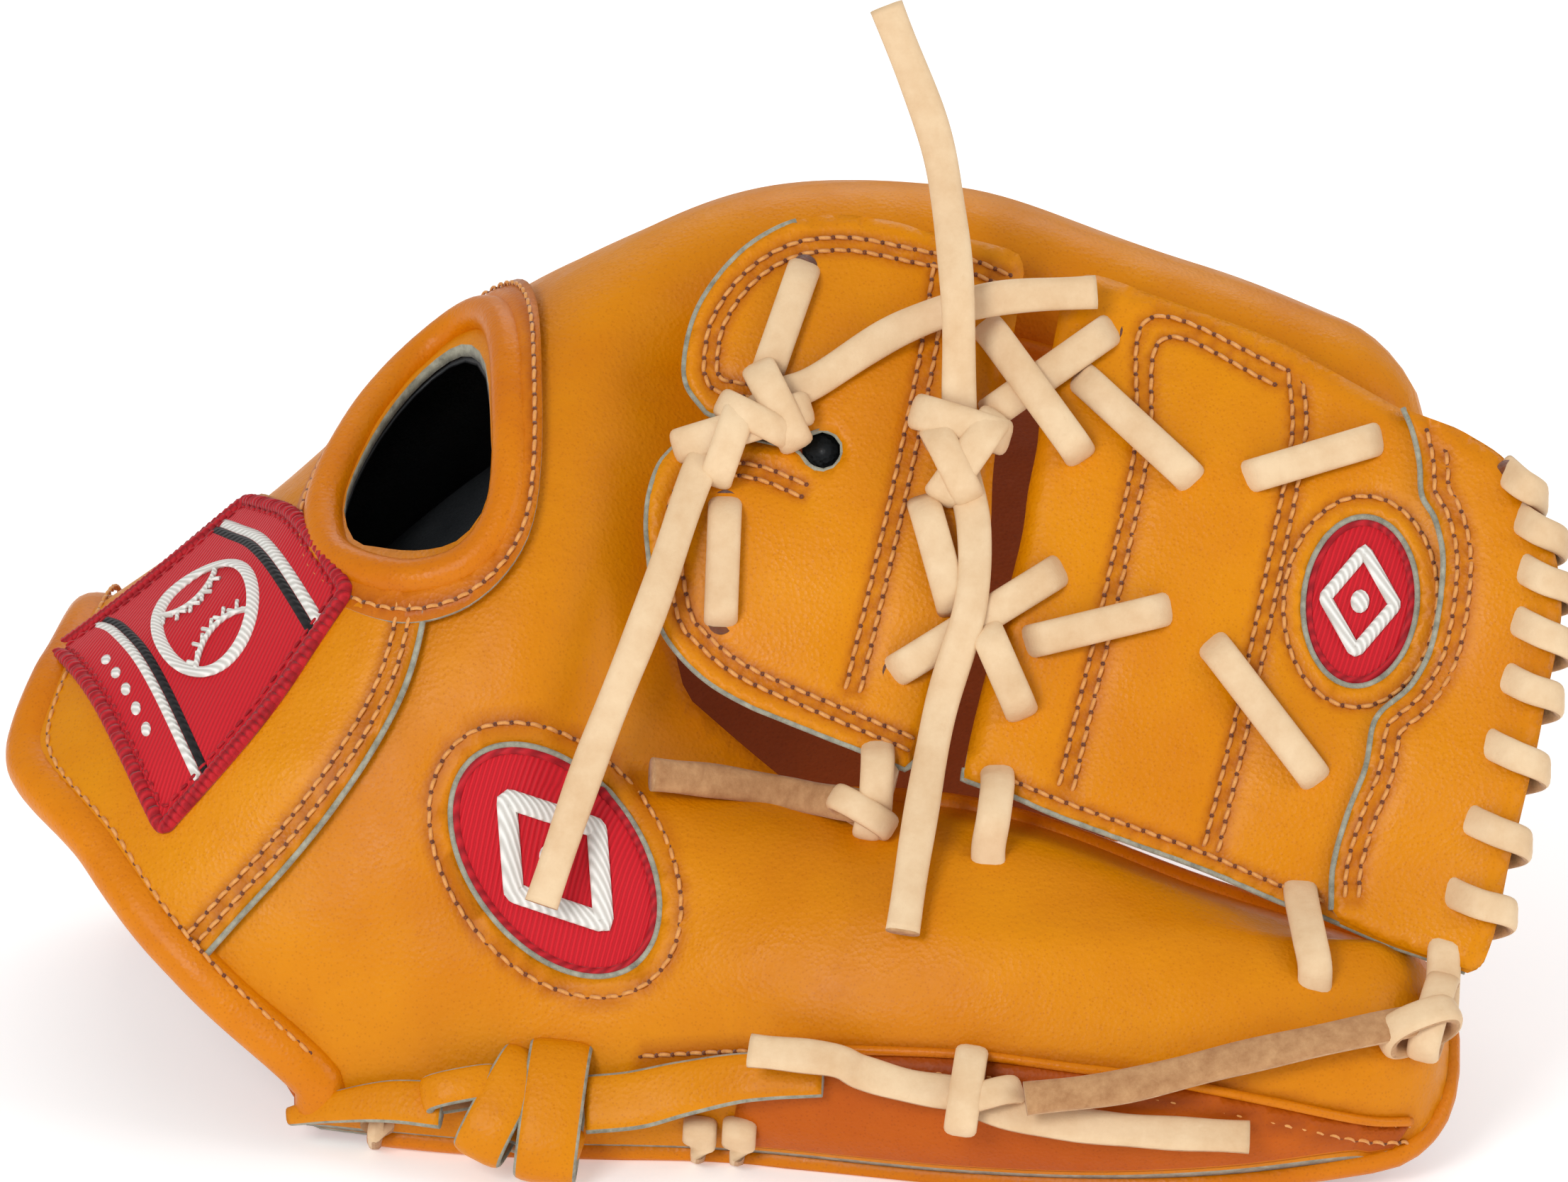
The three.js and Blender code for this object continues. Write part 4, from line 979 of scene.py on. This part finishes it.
roll_line = spline(OPENING[::4], 1.2, True)
away = roll_line - roll_line.mean(0)
away /= np.linalg.norm(away, axis=1, keepdims=True)
roll_line = roll_line + away * 3.9
bead("opening roll", roll_line, on_back, 1.6, 7.4, 7.0, ROLL_HIDE, "palm", "shell_leather",
     "back_opening_roll", closed=True, square=1.0, around=24)
flange_line = roll_line + away * 4.4
flange = sheet("opening flange", roll_line + away * 5.8, on_back, 1.8, 1.4, [ROLL_HIDE, RAW, SUEDE],
               holes=[roll_line + away * 0.8], grooves=[looped(flange_line)], puff=0.4,
               top_lift=3.7)
finish_piece(flange, "palm")

PATCH_W, PATCH_H = 54.0, 64.0
patch_corner = back_line([(2.9, 91.5), (32, 65.4), (65.9, 109.1), (43.0, 119.5)])
patch_corner[0] += (5.4, 0.1 * S)
patch_corner[3] += (1.5, 0.26 * S)


def on_patch(p, lift):
    """Patch coordinates: x across from its open corner, y up from the wrist end, in millimetres."""
    x, y = p[..., :1] / PATCH_W, p[..., 1:2] / PATCH_H
    low = patch_corner[0] * (1 - x) + patch_corner[1] * x
    high = patch_corner[3] * (1 - x) + patch_corner[2] * x
    return on_back(low * (1 - y) + high * y, lift + 3.6)


def rounded(w, h, r, count=6):
    out = []
    for cx, cy, start in ((w - r, r, -90), (w - r, h - r, 0), (r, h - r, 90), (r, r, 180)):
        for a in np.radians(np.linspace(start, start + 90, count)):
            out.append((cx + r * math.cos(a), cy + r * math.sin(a)))
    return np.array(out)


patch = sheet("emblem patch", rounded(PATCH_W, PATCH_H, 2.0), on_patch, 1.6, 1.3, [RED, RED_EDGE, RED],
              top_lift=0.6)
finish_piece(patch, NEAR, "emblem", "emblem_patch")
border = resample(rounded(PATCH_W, PATCH_H, 2.0), 0.45, True)
twist = 0.3 + 0.22 * np.sin(np.arange(len(border)) * 1.57)
bead("patch border", border, on_patch, twist, 3.0, 2.4, RED_EDGE, NEAR, "emblem", closed=True, square=0.9,
     around=12)

for name, y0, y1, mat in (("white stripe lower", 12.6, 15.0, WHITE),
                          ("black stripe lower", 15.1, 17.3, BLACK_THREAD),
                          ("black stripe upper", 51.6, 53.8, BLACK_THREAD),
                          ("white stripe upper", 53.9, 56.5, WHITE)):
    box = np.array([(1.2, y0), (PATCH_W - 1.2, y0), (PATCH_W - 1.2, y1), (1.2, y1)], float)
    finish_piece(sheet(name, box, on_patch, 1.3, 0.5, [mat], top_lift=1.0), NEAR, "emblem")


def satin(name, line, place, width, lift, closed, mat, body, tall=1.1):
    """A raised satin-stitched line: the thread lies across it."""
    bead(name, resample(line, 0.55, closed), place, lift, width, tall, mat, body, "emblem", closed=closed,
         square=0.75, around=12)


# A plain ball with two curved seams stands on the patch, and a diamond with a dot on each oval.
BALL = (27.0, 34.0)
satin("ball ring", ellipse(BALL, 13.5, 13.5, 0), on_patch, 2.6, 1.0, True, WHITE, NEAR)
for side in (-1, 1):
    a = np.radians(np.linspace(-52, 52, 24))
    arc = np.stack([BALL[0] + side * (17.5 - 12.5 * np.cos(a)), BALL[1] + 12.5 * np.sin(a)], -1)
    satin(f"ball seam {side + 1}", arc, on_patch, 1.1, 1.0, False, WHITE, NEAR)
    for n in range(2, 23, 4):
        mid = arc[n]
        for up in (-1, 1):
            tick = np.array([mid, mid + np.array([side * -2.0, up * 1.6])])
            satin(f"ball stitch {side + 1} {n} {up + 1}", tick, on_patch, 0.8, 0.95, False, WHITE, NEAR, 0.8)
for n, x in enumerate((17.0, 22.0, 27.0, 32.0, 37.0)):
    dot = ellipse((x, 7.2), 1.4, 1.4, 0, 14)
    ob = sheet(f"patch dot {n}", dot, on_patch, 0.6, 0.6, [WHITE], top_lift=1.1)
    finish_piece(ob, NEAR, "emblem")
patch_row = rounded(PATCH_W - 5, PATCH_H - 5, 1.5) + 2.5
near_stitches = stitches("patch stitching", [looped(patch_row)],
                         lambda p, e: on_patch(p, e + 0.5), [RED_EDGE, RED_EDGE], 2.6, 0.3)
finish_piece(near_stitches, NEAR, "emblem")


sew("hand stitching", [welt, low_welt, oval_ring], on_back_at(-0.2), NEAR)
sew("strap stitching", strap_rows_d, on_back_at(2.8), NEAR, "strap_leather")
sew("wrist binding stitching", [side_line(WRIST_U, 0.2, 8.0, 80, shift=6.6)], on_back_at(3.2), "palm",
    "strap_leather")
sew("opening stitching", [looped(flange_line)], on_back_at(3.5), "palm")

# ---------- ovals ----------
def diamond(centre, long, short, tilt):
    corners = turned(centre, np.array([long, 0, -long, 0]), np.array([0, short, 0, -short]), tilt)
    return resample(corners, 0.8, True)


def seen_back(p, lift):
    return on_back(arch_at(p[..., 0].ravel(), p[..., 1].ravel()).reshape(p.shape), lift)


for label, node, centre, long, short, tilt, place, body, low in (
        ("thumb", "thumb_oval", THUMB_OVAL_AT, 24, 15.5, THUMB_TILT, seen_back, NEAR, -0.9),
        ("web", "web_oval", WEB_OVAL_AT, 15.6, 10.4, WEB_TILT, on_web, "palm", 3.1)):
    field = sheet(label + " oval", ellipse(centre, long + 0.6, short + 0.6, tilt), place, 1.8, 1.4, [RED],
                  top_lift=low)
    finish_piece(field, body, "emblem", node)
    rim = ellipse(centre, long - 0.9, short - 0.9, tilt, 150)
    satin(label + " oval rim", rim, place, 1.7, low + 0.1, True, RED_EDGE, body, 1.0)
    satin(label + " oval diamond", diamond(centre, long * 0.6, short * 0.62, tilt), place, long * 0.16,
          low + 0.4, True, WHITE, body, 1.5)
    dot = sheet(label + " oval dot", ellipse(centre, long * 0.14, long * 0.11, tilt, 20), place, 0.8, 0.9,
                [WHITE], top_lift=low + 0.9)
    finish_piece(dot, body, "emblem")

# ---------- laces through the web ----------
def segment(a, b, place, base, rise=1.7, dip=5.2, more=2.2):
    """A lace that comes out of one hole, lies on the leather and goes into the next."""
    a, b = np.array(a, float), np.array(b, float)
    d = (b - a) / np.linalg.norm(b - a)
    a, b = a - d * more * 0.4, b + d * more * 0.4
    n = max(14, int(np.linalg.norm(b - a) / 0.9))
    k = np.linspace(0, 1, n)
    q = a + (b - a) * k[:, None]
    run = np.minimum(k, 1 - k) * np.linalg.norm(b - a)
    lift = base + rise - (rise + dip) * (1 - np.clip(run / 4.4, 0, 1)) ** 2.6
    return place(q, lift), up_of(place, q)


def lace(name, runs, body, *nodes, width=LACE_W, sides=LACE_SET):
    parts = [sweep(f"{name} {n}", p, up, width, LACE_T, sides) for n, (p, up) in enumerate(runs)]
    ob = join(name.replace(" ", "_"), parts) if len(parts) > 1 else parts[0]
    return finish_piece(ob, body, "rawhide_lace", *nodes)


def holes(name, places, place, lift, body, r=2.4, mat=NEEDLE_HOLE_SHADE):
    """Punched holes: a dark disc over a small cone sunk in the leather, painted shade of the hole."""
    verts, faces, around = [], [], 18
    a = np.arange(around) * 2 * np.pi / around
    for n, c in enumerate(places):
        q = np.array(c, float) + r * np.stack([np.cos(a), np.sin(a)], -1)
        top = place(q, lift + 0 * a)
        low = place(np.array([c], float), np.array([lift - 2.0]))
        verts += [top, low]
        base = n * (around + 1)
        faces += [tuple(base + j for j in range(around))]
        faces += [(base + (j + 1) % around, base + j, base + around) for j in range(around)]
    ob = make_mesh(name, np.vstack(verts), faces, [mat])
    finish_piece(ob, body)


W_BASE = 5.6
SEGMENTS = {
    "crotch lace": (["crotch_lace"], [((150, 170.9), (143.2, 151.3)), ((135.4, 127.1), (134.6, 105.3))]),
    "web lace upper": (["web_lace_upper"], [((206.4, 159.2), (184, 143.4))]),
    "web lace lower": (["web_lace_lower"], [((196.6, 114.7), (166.6, 96.2))]),
    "web lace tip upper": (["web_lace_tip_upper"], [((200.9, 150.4), (221.1, 131.4)),
                                                    ((231.7, 131.9), (255.4, 138.9))]),
    "web lace tip lower": (["web_lace_tip_lower"], [((191.1, 101.6), (216.2, 107.6)),
                                                    ((224.6, 101.2), (243.3, 76.5))]),
}
hole_places = []
for label, (nodes, pairs) in SEGMENTS.items():
    lace(label, [segment(a, b, on_web, W_BASE) for a, b in pairs], "palm", *nodes)
    hole_places += [p for pair in pairs for p in pair]
lace("web lace upper over", [segment((184, 159.2), (200.4, 136.3), on_web, W_BASE + 2.4)], "palm")
lace("web lace lower over", [segment((182.9, 104.3), (189.5, 89.1), on_web, W_BASE + 2.4)], "palm")
hole_places += [(184, 159.2), (200.4, 136.3), (182.9, 104.3), (189.5, 89.1)]
# lace holes: dark discs, painted shade of the holes
holes("web lace holes", hole_places, on_web, 4.55, "palm")
# the notch hole is a black disc over a cone: painted shade inside the hole
holes("notch hole", [NOTCH], on_web, 3.0, "palm", 3.8, BLACK)

for node, a, b in (("web_thumb_lace_inner", (163.3, 79.8), (162.7, 68.5)),
                   ("web_thumb_lace_middle", (185.1, 75.5), (183.4, 64.0)),
                   ("web_thumb_lace_outer", (240.4, 54.6), (242.2, 42.0))):
    pa, ua = web_point(a[0], a[1], 7.0)
    pb, ub = back_point(b[0], b[1], 2.6)
    mid = (pa + pb) / 2 + np.array([0, -2.6, 0.4])
    start = web_point(a[0], a[1] + 3.0, 2.0)[0]
    stop = back_point(b[0], b[1] - 3.0, -1.5)[0]
    path = spline([start, pa, mid, pb, stop], 0.8)
    ups = np.tile((ua + ub + FACING) / 3, (len(path), 1))
    ob = sweep(node.replace("_", " ") + " strip", path, ups, LACE_W, LACE_T, LACE_SET)
    finish_piece(ob, "palm", "rawhide_lace", node)

# the whip lace winds over the outer edge of the web
WHIP = [(278.8, 133), (280.8, 124.6), (281.0, 115.5), (279.7, 106), (277.8, 95.7), (274.4, 83.6),
        (270.7, 69.9), (267, 56.7)]
coil, coil_up = [], []
edge_mid = spline([(u, w) for u, w in RIGHT_EDGE[::6]], 1.0)
for n, (u, w) in enumerate(WHIP):
    nxt = WHIP[n + 1] if n + 1 < len(WHIP) else (264.4, 47.0)
    over = edge_mid[np.argmin(np.abs(edge_mid[:, 1] - (w - 4.4)))]
    low = np.array([u + (nxt[0] - u) * 0.7, w + (nxt[1] - w) * 0.7])
    for at, lift, up in (((u - 0.5, w + 0.4), 4.5, (-0.4, 1)),
                         (((u + over[0]) / 2, w - 2.4), 9.0, (0.1, 1)),
                         ((over[0] + 1.6, over[1]), 6.0, (0.8, 0.7)),
                         ((over[0] + 1.7, over[1] - 1.6), 1.0, (1, -0.5)),
                         ((over[0] - 3.5, over[1] - 3.0), -2.2, (0.1, -1)),
                         (low, -1.2, (-0.3, -1))):
        at = np.array(at)
        coil.append(on_web(at, lift))
        coil_up.append(up[0] * np.array([1.0, 0, 0]) + up[1] * up_of(on_web, at))
coil, coil_up = np.array(coil), np.array(coil_up)
whip_line = spline(coil, 0.8)
at = np.concatenate([[0], np.cumsum(np.linalg.norm(np.diff(coil, axis=0), axis=1))])
at2 = np.concatenate([[0], np.cumsum(np.linalg.norm(np.diff(whip_line, axis=0), axis=1))])
at2 *= at[-1] / at2[-1]
whip_up = np.stack([np.interp(at2, at, coil_up[:, n]) for n in range(3)], -1)
whip = sweep("whip lace strip", whip_line, whip_up, 5.6, 2.2, LACE_SET)
finish_piece(whip, "palm", "rawhide_lace", "whip_lace")
# whip lace holes: dark discs, painted shade of the holes
holes("whip lace holes", WHIP, on_web, 6.75, "palm", 2.0)

# ---------- knots, thumb strap and the smaller laces ----------
def wrap(centre, normal, along, long, tall, width, thick, sides, name):
    """One turn of a strip around a knot: a flattened loop, its face looking outward."""
    e1 = along - normal * (along @ normal)
    e1 /= np.linalg.norm(e1)
    a = np.arange(40) * 2 * np.pi / 40
    c = np.sign(np.cos(a)) * np.abs(np.cos(a)) ** 0.8
    d = np.sign(np.sin(a)) * np.abs(np.sin(a)) ** 0.8
    points = centre + e1 * (long * c)[:, None] + normal * (tall * d)[:, None]
    ups = e1 * (np.cos(a) / long)[:, None] + normal * (np.sin(a) / tall)[:, None]
    cut = 0.93 if sides is LACE_SET else STRIP_EDGE
    return sweep(name, points, ups, width, thick, sides, closed=True, edge_cut=cut)


def knot(name, node, body, turns, at, place_point, sides=LACE_SET, slot="rawhide_lace", lift=0.0):
    """Each turn has its offset and direction in the face, half length, half height and width."""
    parts = []
    for n, ((du, dw), (x, y), long, tall, width) in enumerate(turns):
        centre, normal = place_point(at[0] + du, at[1] + dw, lift)
        along = np.array([x, y * SIN, y * COS])
        parts.append(wrap(centre, normal, along, long, tall, width, LACE_T if sides is LACE_SET else BACK_T,
                          sides, f"{name} turn {n}"))
    ob = join(name.replace(" ", "_"), parts)
    return finish_piece(ob, body, slot, *node)


KNOTS = [
    ("A", "palm", web_point, (139.5, 141.5), 7.2, [
        ((-1, -0.5), (1, 0.3), 12.0, 3.6, 6.6), ((5.5, 3.5), (-0.5, 1), 7.6, 5.0, 6.6),
        ((-3.5, -3.5), (0.35, 1), 7.0, 4.6, 6.2), ((1.5, 1.0), (1, -0.5), 6.5, 5.4, 5.6)]),
    ("B", "palm", web_point, (178.4, 138.5), 8.0, [
        ((0.2, 3.0), (1, -0.3), 8.2, 5.2, 6.8), ((1.5, -3.0), (0.7, 1), 8.6, 4.8, 6.6),
        ((-1.5, -4.0), (-0.5, 1), 7.0, 5.2, 6.0)]),
    ("C", "thumb_side", back_point, (162.5, 70.5), 6.4, [
        ((0.5, 1.0), (0.25, 1), 6.4, 3.4, 5.6), ((-2.0, -1.0), (1, -0.6), 5.4, 3.2, 5.2)]),
    ("D", "thumb_side", back_point, (263, 29.5), 6.6, [
        ((0.8, 0.5), (0.25, 1), 7.4, 4.2, 6.0), ((-2.0, -1.0), (1, 0.5), 6.6, 4.4, 5.6)]),
    ("E", "thumb_side", back_point, (179, 18.4), 6.2, [
        ((0, 0.6), (0.15, 1), 7.0, 3.6, 6.0), ((3.5, -1.0), (1, 0.3), 5.6, 3.4, 5.4)]),
]
for letter, body, place, at, lift, turns in KNOTS:
    knot(f"knot {letter} wraps", ["knot_" + letter.lower()], body, turns, at, place, lift=lift)

STRIP_EDGE = 0.8      # how much of a strap's rounded side shows its cut edge
knot("thumb strap folds", ["thumb_strap_knot"], "thumb_side", [
    ((2.6, -0.4), (0.12, 1), 12.2, 4.8, 11.5), ((-6.5, 0.6), (0.5, 1), 10.0, 4.2, 9.5),
    ((-14.0, 3.6), (1, 0.2), 6.4, 3.2, 6.5), ((-1.5, -7.0), (1, -0.35), 8.5, 3.6, 7.0)],
    (101.5, 14.6), back_point, SHELL_SET, "strap_leather", lift=6.2)


def strap_run(name, node, marks, widths, lift=3.2):
    pts = [back_point(u, w, lift + extra) for u, w, extra in marks]
    line = spline([p[0] for p in pts], 1.2)
    k = np.linspace(0, 1, len(line))
    ups = spaced([p[1] for p in pts], k)
    wide = np.interp(k, np.linspace(0, 1, len(widths)), widths)
    ob = sweep(name, line, ups, wide, STRAP_T, SHELL_SET, edge_cut=STRIP_EDGE)
    finish_piece(ob, "thumb_side", "strap_leather", *node)


strap_run("thumb strap left run", ["thumb_strap_left"],
          [(55.5, 13.2, 1.5), (64, 15, 2), (74, 16, 2.5), (84, 15, 4)], [3.5, 6, 8, 9])
strap_run("thumb strap right run", ["thumb_strap_right"],
          [(110, 15.5, 3), (119, 16.5, 3), (128, 19, 2), (140, 21.5, 1.2), (153.3, 22, -1)],
          [11, 11, 10, 9, 7])

lace("heel lace loops", [segment(a, b, seen_back, 1.6, more=1) for a, b in (
    ((71.7, 14.5), (71.2, 5.2)), ((131.0, 14.5), (130.5, 5.2)), ((138.2, 14.5), (137.7, 5.2)),
    ((89.5, 10.5), (89.5, 3.4)))], "thumb_side")
lace("corner lace", [segment((266.4, 48.0), (265.4, 33.0), on_web_at(2.5), 2.0, dip=2)], "palm")
lace("folded lace bit", [segment((172.0, 126.5), (177.0, 108.5), on_web, 6.6, dip=2)], "palm")


def seam_loops(s, places, lean=5.0):
    runs = []
    for u in places:
        a, b = np.array([u, (s - 0.2) * S]), np.array([u + lean, (s + 0.22) * S])
        runs.append(segment(a, b, on_back, 2.4, dip=4.5))
    return runs


lace("finger lacing index", seam_loops(5.0, (186, 202, 218, 234, 247, 258)), FAR, "finger_lace_index_middle",
     width=5.6)
lace("finger lacing ring", seam_loops(6.0, (196, 212, 228, 240)) + seam_loops(7.0, (160, 176, 192, 205)), FAR,
     "finger_lace_ring_pinky", width=5.6)
lace("heel lace", [segment((30 + 2 * n, (7.4 - 0.9 * n) * S), (37 + 2 * n, (7.7 - 0.9 * n) * S), on_back, 1.6)
                   for n in range(2)], FAR, "heel_lace")


def piping(name, line, place, lift, body, mat, size=2.4):
    bead(name, line, place, lift, size, size, mat, body, square=1.0, around=12)


for n, s in enumerate((5.0, 6.0, 7.0)):
    tip = (INDEX_TIP, MIDDLE_TIP, RING_TIP)[n] - 10
    line = resample([(118, s * S), (tip, s * S)], 1.6)
    piping(f"finger welt {n}", line, on_back, -0.6, FAR, ROLL_HIDE)

start = np.argmin(np.abs(WELT[:, 0] - 140))
wrap_top = welt[start:]
wrap_tip = [p for p in tip_round(THUMB_TIP, ARCH_LOW, THUMB_END) if p[1] < wrap_top[-1, 1] - 1.5 and p[0] > 252]
wrap_outline = np.vstack([wrap_top[::-1], [(136, -0.27 * S)],
                          resample([(142, -0.27 * S), (250, -0.27 * S)], 3), wrap_tip])
# the strip under the thumb welt takes the darker palm leather: painted shade
palm_wrap = sheet("thumb palm wrap", wrap_outline, on_back, 2.2, 1.2, [PALM_SHADE_HIDE, ROLL_HIDE, SUEDE],
                  grooves=[low_welt[start:]], puff=0.4, top_lift=1.0)
finish_piece(palm_wrap, NEAR, "palm_leather")
piping("thumb welt", wrap_top, on_back, 1.0, NEAR, ROLL_HIDE, size=1.8)


# ---------- bound edges and cut edges ----------
def bound(name, line, body, lift=2.2, wide=4.6, tall=4.6, slot="shell_leather", mat=ROLL_HIDE):
    """Leather folded over the joint of back and palm."""
    bead(name, resample(line, 1.6), on_palm, lift, wide, tall, mat, body, slot, square=0.85, around=16)


bound("thumb edge binding", [(70, ARCH_LOW * S), (150, ARCH_LOW * S)]
      + tip_round(THUMB_TIP, ARCH_LOW, THUMB_END) + [(150, THUMB_END * S)], NEAR)
bound("index edge binding", [(150, INDEX_LOW * S)] + tip_round(INDEX_TIP, INDEX_LOW, INDEX_HIGH), NEAR)
for label, low, high, tip in FINGERS:
    bound(label + " edge binding", tip_round(tip, low + 0.01, high - 0.01), FAR)
bound("pinky edge binding", [(60, ARCH_HIGH * S), (200, ARCH_HIGH * S)], FAR)
heel = side_line(HEEL_U, -0.2, 8.2, 80, shift=1.0)
# the heel binding takes the darker palm leather: painted shade
bound("heel binding near", heel[:50], NEAR, 1.1, 6.5, 3.6, "palm_leather", PALM_SHADE_HIDE)
bound("heel binding far", heel[49:], FAR, 1.1, 6.5, 3.6, "palm_leather", PALM_SHADE_HIDE)


def cut_edge(name, line, place, lift, body):
    bead(name, resample(line, 1.0), place, lift, 1.1, 1.5, RAW, body, square=0.6, around=8)


cut_edge("crotch cut edge", CROTCH[3:len(CROTCH) - 118], on_web, 3.6, "palm")
cut_edge("tip cut edge", TIP_OUTLINE[88:185], on_web, 3.6, "palm")
cut_edge("binding cut edge", STRAP_LEFT, on_web, 5.9, "palm")
cut_edge("strap cut edge", strap_edge[8:], on_back, 2.4, NEAR)
cut_edge("thumb oval cut edge", looped(oval_d), on_back, -0.6, NEAR)
cut_edge("web oval cut edge", looped(WEB_OVAL), on_web, 3.9, "palm")

for n, (u, w) in enumerate(((158, 168), (176, 166), (207, 156), (226, 149), (243, 141))):
    path = spline([on_web(np.array([u, w]), 1.5), on_web(np.array([u, w]), -1.5),
                   on_web(np.array([u + 1.0, w + 2.0]), -4.5), on_back(np.array([u + 2.0, 4.06 * S]), 1.0),
                   on_back(np.array([u + 2.5, 4.1 * S]), -2.0)], 0.9)
    ups = np.tile(np.array([0.3, -0.2, 1.0]), (len(path), 1))
    ob = sweep(f"index lace {n}", path, ups, 5.2, 2.0, LACE_SET)
    finish_piece(ob, "palm", "rawhide_lace")
